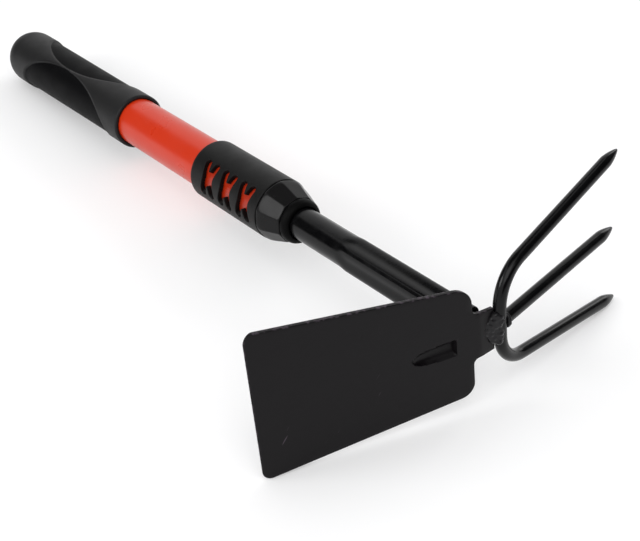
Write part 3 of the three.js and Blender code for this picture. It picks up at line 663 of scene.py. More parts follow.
class HOE_OT_handle_tube(Operator):
    """Turns the red tube of the handle"""

    bl_idname = "hoe.handle_tube"
    bl_label = "Handle tube"

    def execute(self, context):
        sizes = context.scene.hoe_handle
        front, rear = along("outer_tube")
        outside = radius_of("outer_tube")
        bore = outside - sizes.tube_wall
        edge, bore_edge = sizes.tube_edge, sizes.tube_edge * 0.75
        outline = filleted([
            (bore, front, bore_edge), (outside, front, edge), (outside, rear, edge), (bore, rear, bore_edge),
        ])
        mesh = mesh_of("handle_tube", *turned(subdivided(outline, 0.02), 128))
        paint = red_enamel(context.scene.hoe_finishes)
        shown("handle_tube", mesh, "outer_tube", "handle", paint)
        return {"FINISHED"}


def leaf_share(turns, places, radii, front, sizes):
    """How far each point of the grip lies in a leaf panel: 1 on its floor, 0 outside it."""
    along_leaf = (places - front - sizes.leaf_start) / sizes.leaf_length - sizes.leaf_widest
    side = np.where(along_leaf < 0, sizes.leaf_widest, 1 - sizes.leaf_widest)
    round_leaf = (turns - sizes.leaf_turn + math.pi / 2) % math.pi - math.pi / 2
    inside = 1 - (along_leaf / side) ** 2 - (round_leaf / sizes.leaf_half_angle) ** 2
    slope_along = 2 * along_leaf / side ** 2 / sizes.leaf_length
    slope_round = 2 * round_leaf / sizes.leaf_half_angle ** 2 / radii
    distance = inside / np.maximum(np.hypot(slope_along, slope_round), 1e-9)
    return smooth(np.clip(distance / sizes.leaf_edge + 1, 0, 1))


class HOE_OT_rubber_grip(Operator):
    """Forms the rubber grip with its domed end and two sunk leaf panels"""

    bl_idname = "hoe.rubber_grip"
    bl_label = "Rubber grip"

    def execute(self, context):
        sizes = context.scene.hoe_handle
        tints = context.scene.hoe_finishes
        sides, rows = 240, 170
        front, rear = along("rear_grip")
        front_radius, rear_radius = sizes.grip_front_diameter / 2, sizes.grip_rear_diameter / 2
        bore = radius_of("outer_tube") + sizes.clearance
        bore_edge = 0.0002
        dome_start = rear - sizes.dome_length
        flat, rim = sizes.dome_flat / 2, sizes.rim_radius
        body_front = front + rim

        profile = quarter(flat, rear_radius - flat, dome_start, sizes.dome_length, 20)[::-1]
        for step in (1 - k / rows for k in range(1, rows + 1)):
            radius = front_radius + (rear_radius - front_radius) * smooth(step)
            profile.append((radius, body_front + (dome_start - body_front) * step))
        profile += quarter(front_radius - rim, rim, body_front, -rim, 6)[1:]
        outer_rows = len(profile)
        profile += [(bore + bore_edge, front), (bore, front + bore_edge), (bore, rear - sizes.grip_end_wall)]

        turns = np.arange(sides) * 2 * math.pi / sides
        radii, places = np.array(profile).T[:, :, None]
        leaf = leaf_share(turns[None, :], places, radii, front, sizes)
        leaf[outer_rows:] = 0
        depth = radii - sizes.leaf_depth * leaf
        grid = np.stack([
            depth * np.cos(turns), np.broadcast_to(places, depth.shape), depth * np.sin(turns),
        ], axis=-1)
        points, faces = capped(*skin(grid.tolist()), sides)
        mesh = mesh_of("rubber_grip", points, faces)
        shares = [*leaf.ravel().tolist(), 0.0, 0.0]
        attribute(mesh, "leaf", shares)
        mesh.materials.append(grip_rubber(tints, "grip_rubber", 0.2))
        mesh.materials.append(grip_rubber(tints, "leaf_rubber", 0.04))
        for face in mesh.polygons:
            face.material_index = int(min(shares[k] for k in face.vertices) > 0.5)
        shown("rubber_grip", mesh, "rear_grip", "handle", crease=50)
        return {"FINISHED"}


# Collar


def window_outline(sizes, radius):
    """Outline of one X-shaped window, and the outward direction at each of its points.

    The X has straight wide arms with a notch between them at each end; x runs round the sleeve
    and y along the shaft."""
    top, corner, notch = sizes.window_height / 2, sizes.window_width / 2, sizes.notch_width / 2
    half = [
        (0, sizes.window_waist / 2, sizes.waist_rounding),
        (top, corner, sizes.arm_rounding),
        (top, notch, sizes.arm_rounding),
        (top - sizes.notch_depth, 0, sizes.notch_rounding),
        (top, -notch, sizes.arm_rounding),
        (top, -corner, sizes.arm_rounding),
    ]
    flat = subdivided(filleted(half + [(-x, -y, fillet) for x, y, fillet in half]), 0.0008)
    outline = [Vector((radius * math.asin(point.x / radius), point.y)) for point in reversed(flat)]
    outwards = []
    for k, before in enumerate(outline):
        tangent = outline[(k + 2) % len(outline)] - before
        outwards.append(Vector((tangent.y, -tangent.x)).normalized())
    return outline, outwards[-1:] + outwards[:-1]


def window_tree():
    """Cuts rows and columns of one window through a sleeve.

    A cutter is raised from inside the bore past the sleeve's surface, and then bent round the shaft."""
    inside_share, past_share, lip_share = 0.7, 0.6, 0.2
    lip_angle, lip_steps = math.radians(68), 4
    tree = ShapeTree("Windows in the collar sleeve", Object="Window", Int="Rows, Columns",
                     Float="Pitch, First, Turn, Radius, Bore, Lip")
    given = tree.given
    lip = given["Lip"]
    outward = tree.add("GeometryNodeInputNamedAttribute", {"Name": "outward"}, data_type="FLOAT_VECTOR")[0]

    def raised(mesh, top, height, flare):
        """One more step of the cutter: its top goes up, and outwards where the lip is rounded."""
        step = tree.add("GeometryNodeExtrudeMesh", {
            "Mesh": mesh, "Selection": top, "Offset": tree.vector(z=height), "Offset Scale": 1.0,
            "Individual": False,
        })
        push = tree.add("ShaderNodeVectorMath", {"Vector": outward, "Scale": flare}, operation="SCALE")[0]
        return tree.moved(step["Mesh"], Selection=step["Top"], Offset=push), step["Top"]

    window = tree.add("GeometryNodeObjectInfo", {"Object": given["Window"]})["Geometry"]
    round_pitch = tree.math("DIVIDE", tree.math("MULTIPLY", given["Radius"], 2 * math.pi), given["Columns"])
    width = tree.math("MULTIPLY", round_pitch, tree.math("SUBTRACT", given["Columns"], 1))
    height = tree.math("MULTIPLY", given["Pitch"], tree.math("SUBTRACT", given["Rows"], 1))
    spots = tree.add("GeometryNodeMeshGrid", {
        "Size X": width, "Size Y": height, "Vertices X": given["Columns"], "Vertices Y": given["Rows"],
    })[0]
    spots = tree.moved(spots, Offset=tree.vector(
        tree.math("MULTIPLY_ADD", given["Turn"], given["Radius"], tree.math("MULTIPLY", width, 0.5)),
        tree.math("SUBTRACT", given["First"], tree.math("MULTIPLY", height, 0.5)),
    ))
    floors = tree.add("GeometryNodeRealizeInstances", {"Geometry": tree.laid(window, spots)})[0]
    start = tree.math("SUBTRACT", tree.math("MULTIPLY", given["Bore"], inside_share), given["Radius"])
    floors = tree.moved(floors, Offset=tree.vector(z=start))

    straight = tree.math("SUBTRACT", tree.math("MULTIPLY", start, -1), lip)
    cutter, top = raised(floors, True, straight, 0.0)
    lip_turns = [lip_angle * k / lip_steps for k in range(lip_steps + 1)]
    for before, turn in zip(lip_turns, lip_turns[1:]):
        rise = tree.math("MULTIPLY", lip, math.sin(turn) - math.sin(before))
        flare = tree.math("MULTIPLY", lip, math.cos(before) - math.cos(turn))
        cutter, top = raised(cutter, top, rise, flare)
    past = tree.math("MULTIPLY", given["Bore"], past_share)
    cutter, top = raised(cutter, top, past, tree.math("MULTIPLY", lip, lip_share))
    bottom = tree.add("GeometryNodeFlipFaces", {"Mesh": floors})[0]
    both = tree.tree.nodes.new("GeometryNodeJoinGeometry")
    for half in (cutter, bottom):
        tree.feed(both.inputs[0], half)
    closed = tree.add("GeometryNodeMergeByDistance", {"Geometry": both.outputs[0], "Distance": 1e-6})[0]
    x, place, z = tree.position()
    bent = tree.put_round(
        closed, tree.math("DIVIDE", x, given["Radius"]), tree.math("ADD", given["Radius"], z), place,
    )
    faces_out = tree.add("GeometryNodeFlipFaces", {"Mesh": bent})[0]
    return tree.finish(tree.add("GeometryNodeMeshBoolean", {
        "Mesh 1": given["Geometry"], "Mesh 2": faces_out,
    }, operation="DIFFERENCE", solver="MANIFOLD")[0])


class HOE_OT_collar_sleeve(Operator):
    """Turns the collar's rubber sleeve and cuts its X-shaped windows"""

    bl_idname = "hoe.collar_sleeve"
    bl_label = "Collar sleeve"

    def execute(self, context):
        sizes = context.scene.hoe_collar
        front, rear = along("collar_sleeve")
        outside = radius_of("collar_sleeve")
        bore = radius_of("outer_tube") + context.scene.hoe_handle.clearance
        bore_edge = 0.0002
        profile = filleted([
            (bore, front, bore_edge), (outside, front, sizes.front_edge),
            (outside, rear, sizes.rim_radius), (bore, rear, bore_edge),
        ])
        sleeve = mesh_of("collar_sleeve_body", *turned(subdivided(profile, 0.0012), 192))
        with_normals(sleeve, merge=False)
        uncut_faces = len(sleeve.polygons)

        outline, outwards = window_outline(sizes, outside)
        window_mesh = mesh_of("window", [(x, y, 0) for x, y in outline], [list(range(len(outline)))])
        directions = window_mesh.attributes.new("outward", "FLOAT_VECTOR", "POINT")
        directions.data.foreach_set("vector", [part for x, y in outwards for part in (x, y, 0.0)])
        window = linked("window_pattern", window_mesh)
        mesh = window_tree().grown(sleeve, {
            "Window": window, "Rows": sizes.window_rows, "Columns": sizes.window_columns,
            "Pitch": sizes.window_pitch, "First": rear - sizes.window_first,
            "Turn": sizes.window_turn, "Radius": outside, "Bore": bore, "Lip": sizes.window_lip,
            "Finish": sleeve_rubber(context.scene.hoe_finishes),
        })
        bpy.data.objects.remove(window)
        if len(mesh.polygons) < uncut_faces / 2:
            raise RuntimeError("the windows couldn't be cut through the collar sleeve")
        shown("window_sleeve", mesh, "collar_sleeve", "handle", crease=40, recalculate=False)
        return {"FINISHED"}


def flats_tree():
    """Presses flats with soft edges in a turned nut."""
    tree = ShapeTree("Flats of the lock nut", Int="Flats",
                     Float="Turn, Front, Rear, Front distance, Rear distance, Softness")
    given = tree.given
    turn, across, place = tree.round_the_shaft()
    half = tree.math("DIVIDE", math.pi, given["Flats"])
    off_middle = tree.math("PINGPONG", tree.math("SUBTRACT", turn, given["Turn"]), half)
    distance = tree.range(
        place, given["Front"], given["Rear"], given["Front distance"], given["Rear distance"],
    )
    flat = tree.math("DIVIDE", distance, tree.math("COSINE", off_middle))
    lower = tree.math("SMOOTH_MIN", across, flat, given["Softness"])
    return tree.finish(tree.put_round(given["Geometry"], turn, lower, place))


class HOE_OT_lock_nut(Operator):
    """Turns the lock nut, presses its flats, and turns the nose ring"""

    bl_idname = "hoe.lock_nut"
    bl_label = "Lock nut and nose ring"

    def execute(self, context):
        sizes = context.scene.hoe_collar
        tints = context.scene.hoe_finishes
        gap = context.scene.hoe_handle.clearance
        front, rear = along("lock_nut")
        outside = radius_of("collar_sleeve")
        slide = radius_of("inner_tube") + gap
        bore = radius_of("pressure_ring") + gap
        stem = slide + sizes.nose_stem_wall
        front_radius = sizes.nut_front_diameter / 2
        wall_rear = front + sizes.nut_front_wall
        profile = [
            (bore, rear), (outside - sizes.nut_edge, rear), (outside, rear - sizes.nut_edge),
            *quarter(front_radius, outside - front_radius, front + sizes.nut_taper, -sizes.nut_taper, 24),
            (stem + gap, front), (stem + gap, wall_rear), (bore, wall_rear),
        ]
        body = mesh_of("lock_nut_body", *turned(subdivided(profile, 0.0008), 200))
        mesh = flats_tree().grown(body, {
            "Flats": sizes.nut_flats, "Turn": -sizes.nut_turn, "Front": front, "Rear": rear,
            "Front distance": sizes.flat_front / 2, "Rear distance": sizes.flat_rear / 2,
            "Softness": sizes.flat_softness, "Finish": nut_plastic(tints),
        })
        shown("clamping_nut", mesh, "lock_nut", "nut", crease=45)

        ring_front, ring_rear = along("nose_ring")
        ring_radius = radius_of("nose_ring")
        mouth = sizes.nose_mouth / 2
        edge = sizes.nose_edge
        seat = front - gap
        slope_rear = seat - sizes.nose_rim
        profile = [
            (slide, ring_rear), (stem, ring_rear), (stem, seat), (ring_radius - edge, seat),
            (ring_radius, seat - edge),
            *quarter(mouth, ring_radius - mouth, slope_rear, ring_front - slope_rear, 16),
            (slide + gap, ring_front), (slide, ring_front + gap),
        ]
        mesh = mesh_of("nose_collar", *turned(profile, 128))
        shown("nose_collar", mesh, "nose_ring", "nut", nose_rubber(tints), crease=45)
        return {"FINISHED"}


# Head


def flutes_tree():
    """Presses long flutes in the end of a tube."""
    tree = ShapeTree("Flutes of the inner tube", Int="Flutes",
                     Float="Turn, End, Length, Runout, Start depth, End depth, Rise, Sharpness")
    given = tree.given
    turn, across, place = tree.round_the_shaft()
    pressed = tree.math("SUBTRACT", given["End"], place)
    ramp = tree.range(pressed, 0.0, given["Runout"], eased=True)
    depth = tree.range(pressed, 0.0, given["Length"], given["Start depth"], given["End depth"])
    half_flutes = tree.math("MULTIPLY", given["Flutes"], 0.5)
    wave = tree.math("COSINE", tree.math("MULTIPLY", tree.math("SUBTRACT", turn, given["Turn"]), half_flutes))
    groove = tree.math("POWER", tree.math("ABSOLUTE", wave), given["Sharpness"])
    shift = tree.math("SUBTRACT", given["Rise"], tree.math("MULTIPLY", depth, groove))
    lowered = tree.math("MULTIPLY_ADD", shift, ramp, across)
    return tree.finish(tree.put_round(given["Geometry"], turn, lowered, place))


class HOE_OT_fluted_tube(Operator):
    """Draws the black inner tube and presses its long flutes"""

    bl_idname = "hoe.fluted_tube"
    bl_label = "Fluted tube"

    def execute(self, context):
        sizes = context.scene.hoe_head
        front, rear = along("inner_tube")
        crimp_end = front + sizes.crimp_length
        tube_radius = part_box("inner_plug")[1].z - ORIGIN.z
        pressed_rows, plain_rows, sides = 70, 12, 144
        places = [rear + (crimp_end - rear) * k / plain_rows for k in range(plain_rows)]
        places += [crimp_end + (front - crimp_end) * k / pressed_rows for k in range(pressed_rows + 1)]
        rings = [turned_ring(tube_radius, place, sides) for place in places]
        mesh = flutes_tree().grown(mesh_of("fluted_tube_skin", *skin(rings)), {
            "Flutes": sizes.flutes, "Turn": sizes.flute_turn, "End": crimp_end,
            "Length": sizes.crimp_length, "Runout": sizes.crimp_runout,
            "Start depth": sizes.flute_start, "End depth": sizes.flute_end,
            "Rise": sizes.flute_rise, "Sharpness": sizes.flute_sharpness,
            "Finish": black_lacquer(context.scene.hoe_finishes.black),
        }, wall=sizes.tube_wall)
        shown("fluted_tube", mesh, "inner_tube", "head", crease=50)
        return {"FINISHED"}


def stepped(place, end, step_at):
    """Places from one end to the other, with a step between them that depends on the place."""
    places = []
    while place < end:
        places.append(place)
        place += step_at(place)
    return places


def well_inside(outline, spots, margin):
    """Which spots lie inside a closed outline, and further from it than a margin."""
    near = np.array(outline)
    far = np.roll(near, -1, axis=0)
    side = far - near
    chosen = []
    for x, z in spots:
        crossed_at = side[:, 0] * (z - near[:, 1]) / (side[:, 1] + 1e-30) + near[:, 0]
        crossings = ((near[:, 1] > z) != (far[:, 1] > z)) & (x < crossed_at)
        if crossings.sum() % 2:
            part = np.clip(((np.array((x, z)) - near) * side).sum(1) / (side ** 2).sum(1), 0, 1)
            if np.hypot(*(near + side * part[:, None] - (x, z)).T).min() > margin:
                chosen.append(Vector((x, z)))
    return chosen


class BladeShape:
    """The bent plate of the blade and its tongue: x and z are the hoe's, and its faces lie along y."""

    def __init__(self, sizes):
        self.sizes = sizes
        self.lean = math.cos(sizes.blade_tilt)
        gap_to_fork = 0.0003
        self.tongue_end = sizes.fork_offset - sizes.rod / 2 - gap_to_fork
        self.edge_x = -sizes.blade_run * self.lean
        self.bend_outside = sizes.bend_radius + sizes.plate
        self.bend_start = self.bend_outside * math.tan(sizes.blade_tilt / 2)
        self.bend_end = self.bend_start - self.bend_outside * math.sin(sizes.blade_tilt)

    def outline(self):
        sizes = self.sizes
        neck_x = -sizes.neck_offset
        return subdivided(filleted([
            (self.tongue_end, -sizes.tongue_lower, 0),
            (neck_x, -sizes.tongue_root_lower, sizes.tongue_fillet),
            (neck_x, -sizes.neck_lower, sizes.lower_corner),
            (self.edge_x, -sizes.edge_half_width, sizes.edge_corner),
            (self.edge_x, sizes.edge_half_width, sizes.edge_corner),
            (neck_x, sizes.neck_upper, sizes.upper_corner),
            (neck_x, sizes.tongue_root_upper, sizes.tongue_fillet),
            (self.tongue_end, sizes.tongue_upper, 0),
        ], steps=8), 0.0016)

    def inside_points(self, outline):
        """Points between the edges: closer together at the bend and in the dart."""
        sizes = self.sizes
        dart_from = sizes.dart_offset * self.lean - 0.002
        dart_to = dart_from + 0.028
        bend_zone, fine, dart_step, coarse = 0.004, 0.0005, 0.0006, 0.0022
        margin, border, dart_border = 0.0012, 0.0385, 0.0013

        def column_step(reach):
            if abs(reach) < bend_zone:
                return fine
            return dart_step if dart_from < reach < dart_to else coarse

        def row_step(z, dart_height):
            return fine if abs(z + sizes.dart_drop) < dart_height else coarse

        bevel = -self.edge_x - sizes.bevel * self.lean
        reaches = stepped(0.0016 - self.tongue_end, -self.edge_x - 0.001, column_step)
        reaches = [reach for reach in reaches if abs(reach - bevel) > dart_step] + [bevel]
        spots = []
        for reach in reaches:
            in_dart = dart_from < reach < dart_to
            dart_height = sizes.dart_half_height + sizes.plate + dart_border if in_dart else 0
            heights = stepped(-border, border, lambda z: row_step(z, dart_height))
            spots += [(-reach, z) for z in heights]
        return well_inside(outline, spots, margin)

    def dart(self, x, z, wall=0.0):
        """Depth of half an egg that begins with a steep end; the back's is larger by the wall."""
        sizes = self.sizes
        run = -x / self.lean - sizes.dart_offset + wall / 2
        if run < -sizes.dart_slope:
            return 0.0
        along_egg = max(run, 0) / (sizes.dart_length + wall)
        across_egg = (z + sizes.dart_drop) / (sizes.dart_half_height + wall)
        egg = 1 - along_egg ** 4 - across_egg ** 2
        if egg <= 0:
            return 0.0
        entry = smooth(min(1.0, (run + sizes.dart_slope) / sizes.dart_slope))
        return (sizes.dart_depth + wall) * math.sqrt(egg) * entry / self.lean

    def bent(self, x):
        """Where the bent plate's front lies, and how far it leans there."""
        tilt = self.sizes.blade_tilt
        if x >= self.bend_start:
            return 0.0, 0.0
        if x < self.bend_end:
            return -x * math.tan(tilt), tilt
        lean = math.asin((self.bend_start - x) / self.bend_outside)
        return self.bend_outside * (1 - math.cos(lean)), lean

    def levels(self, point):
        """Where the front and the back lie at a point of the plate."""
        sizes = self.sizes
        place, lean = self.bent(point.x)
        thickness = max(sizes.plate / math.cos(lean), self.dart(point.x, point.y, sizes.plate))
        left = sizes.blade_run + point.x / self.lean
        if left < sizes.bevel:
            ground = sizes.edge_thickness + (sizes.plate - sizes.edge_thickness) * max(left, 0) / sizes.bevel
            thickness = min(thickness, ground / self.lean)
        return place + self.dart(point.x, point.y), place + thickness


class HOE_OT_blade(Operator):
    """Forms the blade: a bent plate with rounded corners, a pressed dart and a ground bevel"""

    bl_idname = "hoe.blade"
    bl_label = "Blade"

    def execute(self, context):
        sizes = context.scene.hoe_head
        shape = BladeShape(sizes)
        rounding = sizes.plate_rounding
        outline = shape.outline()
        sides = len(outline)
        outwards = []
        for k, point in enumerate(outline):
            run = (point - outline[k - 1]).normalized() + (outline[(k + 1) % sides] - point).normalized()
            outwards.append(Vector((-run.y, run.x)).normalized())
        inner = [point - outward * rounding for point, outward in zip(outline, outwards)]

        spots = inner + shape.inside_points(outline)
        placed, _, triangles, sources, *_ = delaunay_2d_cdt(spots, [], [list(range(sides))], 1, 1e-7)
        place_of = {source: k for k, all_sources in enumerate(sources) for source in all_sources}
        levels = [shape.levels(point) for point in placed]
        points = [(point.x, front, point.y) for point, (front, _) in zip(placed, levels)]
        points += [(point.x, back, point.y) for point, (_, back) in zip(placed, levels)]
        behind = len(placed)
        faces = [tuple(face) for face in triangles]
        faces += [(behind + c, behind + b, behind + a) for a, b, c in triangles]

        first = [place_of[k] for k in range(sides)]
        rings = [first]
        turns = [math.pi / 8 * k for k in range(1, 5)]
        rounded = [(math.sin(turn), 1 - math.cos(turn)) for turn in turns]
        for at_back, shares in ((False, rounded), (True, rounded[::-1])):
            for out, depth in shares:
                rings.append(range(len(points), len(points) + sides))
                for base, outward in zip(inner, outwards):
                    front, back = shape.levels(base)
                    inset = min(rounding, (back - front) * 0.45) * depth
                    spot = base + outward * rounding * out
                    points.append((spot.x, back - inset if at_back else front + inset, spot.y))
        rings.append([behind + k for k in first])
        for lower, upper in zip(rings, rings[1:]):
            faces += [(lower[k - 1], lower[k], upper[k], upper[k - 1]) for k in range(sides)]
        mesh = mesh_of("hoe_plate", points, faces)
        attribute(mesh, "rim", [float(k >= 2 * behind) for k in range(len(points))])
        shown("hoe_plate", mesh, "hoe_blade", "head",
              blade_lacquer(context.scene.hoe_finishes), crease=32)
        return {"FINISHED"}


def rod_tree():
    """Bends a round rod along a line of corners and grinds its ends to points."""
    tree = ShapeTree("Ground rod along a path", Bool="Both ends",
                     Float="Bend radius, Rod radius, Point radius, Point length")
    given = tree.given
    path = tree.add("GeometryNodeMeshToCurve", {"Mesh": given["Geometry"]})[0]
    bent = tree.add("GeometryNodeFilletCurve", {
        "Curve": path, "Radius": given["Bend radius"], "Count": 24,
    }, mode="POLY")[0]
    bent = tree.add("GeometryNodeResampleCurve", {"Curve": bent, "Length": 0.0008}, mode="LENGTH")[0]
    from_start = tree.add("GeometryNodeSplineParameter")["Length"]
    from_end = tree.math("SUBTRACT", tree.add("GeometryNodeSplineLength")["Length"], from_start)
    from_tip = tree.add("GeometryNodeSwitch", {
        "Switch": given["Both ends"], "False": from_start, "True": tree.math("MINIMUM", from_start, from_end),
    }, input_type="FLOAT")[0]
    part = tree.math("DIVIDE", from_tip, given["Point length"], clamp=True)
    swell = tree.math("SUBTRACT", 1.0, tree.math("POWER", tree.math("SUBTRACT", 1.0, part), 1.6))
    thicker = tree.math("SUBTRACT", given["Rod radius"], given["Point radius"])
    radius = tree.math("MULTIPLY_ADD", thicker, swell, given["Point radius"])
    nib = tree.range(from_tip, 0.0, tree.math("MULTIPLY", given["Point length"], 0.04), 0.7, 1.0)
    ring = tree.add("GeometryNodeCurvePrimitiveCircle", {"Resolution": 28, "Radius": 1.0})["Curve"]
    return tree.finish(tree.add("GeometryNodeCurveToMesh", {
        "Curve": bent, "Profile Curve": ring, "Scale": tree.math("MULTIPLY", radius, nib), "Fill Caps": True,
    })[0])


class HOE_OT_tines(Operator):
    """Bends the outer tines from one rod and grinds the three points"""

    bl_idname = "hoe.tines"
    bl_label = "Tines"

    def execute(self, context):
        sizes = context.scene.hoe_head
        tree = rod_tree()
        settings = {
            "Bend radius": sizes.fork_bend, "Rod radius": sizes.rod / 2,
            "Point radius": sizes.point_diameter / 2, "Point length": sizes.point_length,
            "Finish": black_lacquer(context.scene.hoe_finishes.black, "tine_lacquer"),
        }
        cos_tilt, sin_tilt = math.cos(sizes.tine_tilt), math.sin(sizes.tine_tilt)
        base = sizes.fork_half_span
        tip_x = sizes.outer_tine * math.cos(sizes.fork_spread)
        tip_z = base + sizes.outer_tine * math.sin(sizes.fork_spread)
        root_x = sizes.rod * 0.3
        for name, node, both_ends, corners in (
            ("outer_tines", "tine_fork", True, [(tip_x, -tip_z), (0, -base), (0, base), (tip_x, tip_z)]),
            ("middle_prong", "middle_tine", False, [(sizes.middle_tine, 0), (root_x, 0)]),
        ):
            points = [(sizes.fork_offset + x * cos_tilt, x * sin_tilt, z) for x, z in corners]
            path = mesh_of("tine_path", points, [], [(k, k + 1) for k in range(len(points) - 1)])
            rod = tree.grown(path, {**settings, "Both ends": both_ends})
            shown(name, rod, node, "head", crease=50)
        return {"FINISHED"}


def bead_tree():
    """Lays overlapping droplets of weld along a seam, uneven in size and place."""
    tree = ShapeTree("Weld bead along a seam", Float="Spacing, Droplet radius, Unevenness", Int="Seed")
    given = tree.given
    radius = given["Droplet radius"]
    seam = tree.add("GeometryNodeMeshToCurve", {"Mesh": given["Geometry"]})[0]
    spots = tree.add("GeometryNodeCurveToPoints", {"Curve": seam, "Length": given["Spacing"]}, mode="LENGTH")
    stray = tree.math("MULTIPLY", radius, given["Unevenness"])

    def random_vector(low, high, seed):
        return tree.add("FunctionNodeRandomValue", {
            "Min": tree.vector(low, low, low), "Max": tree.vector(high, high, high), "Seed": seed,
        }, data_type="FLOAT_VECTOR")[0]

    strewn = tree.moved(spots["Points"], Offset=random_vector(
        tree.math("MULTIPLY", stray, -1), stray, given["Seed"]))
    droplet = tree.add("GeometryNodeMeshIcoSphere", {"Radius": 1.0, "Subdivisions": 3})[0]
    scale = random_vector(tree.math("MULTIPLY", radius, 0.85), tree.math("MULTIPLY", radius, 1.1),
                          tree.math("ADD", given["Seed"], 1))
    return tree.finish(tree.laid(droplet, strewn, Rotation=spots["Rotation"], Scale=scale))


def ring_seam(centre, radius, first, second):
    """A closed seam round a centre, in the plane of two directions."""
    sides = 40
    turns = (k * 2 * math.pi / sides for k in range(sides))
    spots = [centre + radius * (math.cos(turn) * first + math.sin(turn) * second) for turn in turns]
    return spots, [(k, (k + 1) % sides) for k in range(sides)]


def woven_seam(near, far, low, high, passes):
    """A welder's zigzag from low to high; it swings from near to far, furthest in the middle."""
    spots = []
    for k in range(passes + 1):
        part = k / passes
        swing = math.sin(math.pi * (0.12 + 0.76 * part)) if k % 2 else 0.0
        x, y = near.lerp(far, swing)
        spots.append(Vector((x, y, low + (high - low) * part)))
    return spots, [(k, k + 1) for k in range(passes)]


def merged_bead(droplets, bead, lumps):
    """Droplets run together to one lumpy bead."""
    forming = linked(droplets.name, droplets)
    merged = forming.modifiers.new("Merge", "REMESH")
    merged.mode = "VOXEL"
    merged.voxel_size = bead * 0.12
    uneven = forming.modifiers.new("Uneven", "DISPLACE")
    uneven.texture = lumps
    uneven.texture_coords = "LOCAL"
    uneven.strength = bead * 0.5
    uneven.mid_level = 0.5
    soften = forming.modifiers.new("Soften", "SMOOTH")
    soften.factor = 0.5
    soften.iterations = 14
    return settled(forming)


class HOE_OT_welds(Operator):
    """Lays the weld beads between the shank, the tongue, the fork and the middle tine"""

    bl_idname = "hoe.welds"
    bl_label = "Welds"

    def execute(self, context):
        sizes = context.scene.hoe_head
        finish = black_lacquer(context.scene.hoe_finishes.weld, "weld_lacquer", 0.00012)
        lumps = bpy.data.textures.new("weld_lumps", "CLOUDS")
        lumps.noise_scale = sizes.bead_lumps
        tree = bead_tree()
        bead, rod, plate = sizes.bead, sizes.rod / 2, sizes.plate
        neck_radius = radius_of("neck_weld")
        node_low, node_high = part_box("fork_weld_front")
        low = node_low.z - ORIGIN.z + bead
        high = node_high.z - ORIGIN.z - bead * 0.4
        x_axis, z_axis = Vector((1, 0, 0)), Vector((0, 0, 1))
        tine = Vector((math.cos(sizes.tine_tilt), math.sin(sizes.tine_tilt), 0))
        off_tine = Vector((-tine.y, tine.x, 0))
        root = Vector((sizes.fork_offset, 0, 0))

        def neck_ring(behind, inset):
            centre = Vector((0, plate + bead * behind, 0))
            return ring_seam(centre, neck_radius - bead * inset, x_axis, z_axis)

        def woven(near_x, near_y, far_x, far_y):
            near, far = Vector((root.x - near_x, near_y)), Vector((root.x - far_x, far_y))
            return woven_seam(near, far, low, high, sizes.bead_passes)

        front_seam = woven(rod * 0.3, rod * -0.5, rod * 2.5, rod * 0.46)
        back_seam = woven(rod * 0.7, plate * 0.8, rod * 2.0, plate * 0.4)
        tine_seam = ring_seam(root + tine * rod * 1.08, rod, off_tine, z_axis)
        for name, node, size, seams in (
            ("neck_bead", "neck_weld", 0.8, [neck_ring(0.6, 0.95), neck_ring(1.7, 1.5)]),
            ("fork_bead_front", "fork_weld_front", 0.95, [front_seam]),
            ("fork_bead_back", "fork_weld_back", 0.9, [back_seam]),
            ("tine_bead", "tine_weld", 0.5, [tine_seam]),
        ):
            points, edges = [], []
            for spots, pairs in seams:
                edges += [(a + len(points), b + len(points)) for a, b in pairs]
                points += spots
            droplets = tree.grown(mesh_of(name + "_seam", points, [], edges), {
                "Spacing": bead * size * 0.5, "Droplet radius": bead * size,
                "Unevenness": sizes.bead_unevenness, "Seed": sizes.bead_seed, "Finish": finish,
            })
            shown(name, merged_bead(droplets, bead, lumps), node, "head", finish, crease=80)
        return {"FINISHED"}


class HOE_OT_inner_pieces(Operator):
    """Gives the pieces inside the handle and the collar their finishes"""

    bl_idname = "hoe.inner_pieces"
    bl_label = "Inner pieces"

    def execute(self, context):
        tints = context.scene.hoe_finishes
        for finish, nodes in (
            (natural_nylon, "tube_plug, front_bush, collet, pressure_ring, rear_bush, inner_plug"),
            (bare_steel, "bush_pin, shank"),
            (nut_plastic, "collar_core"),
        ):
            material = finish(tints)
            for node in nodes.split(", "):
                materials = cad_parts[node].data.materials
                materials.clear()
                materials.append(material)
        return {"FINISHED"}


# Stage


SQUARE = ((-0.5, -0.5), (0.5, -0.5), (0.5, 0.5), (-0.5, 0.5))


def resting_plane(pieces):
    """The plane that the hoe rests on, as (height, slope along X, slope along Y): it touches each piece."""
    clouds = []
    for name in pieces:
        mesh = bpy.data.objects[name].data
        spots = np.empty(len(mesh.vertices) * 3)
        mesh.vertices.foreach_get("co", spots)
        clouds.append(spots.reshape(-1, 3))
    plane = np.zeros(3)
    for _ in range(12):
        gaps = [spots[:, 2] - plane[0] - spots[:, :2] @ plane[1:] for spots in clouds]
        feet = np.array([spots[gap.argmin()] for spots, gap in zip(clouds, gaps)])
        plane = np.linalg.solve(np.column_stack([np.ones(3), feet[:, :2]]), feet[:, 2])
    return plane


def set_floor(sizes):
    """A pale floor that touches the blade, the tines and the grip."""
    height, slope_x, slope_y = resting_plane(["hoe_plate", "outer_tines", "rubber_grip"])
    gap = 0.0001
    corners = [(x * sizes.floor_size, y * sizes.floor_size) for x, y in SQUARE]
    points = [(x, y, height + slope_x * x + slope_y * y - gap) for x, y in corners]
    mesh = mesh_of("floor", points, [(0, 1, 2, 3)])
    mesh.materials.append(floor_paper(sizes))
    linked("floor", mesh)


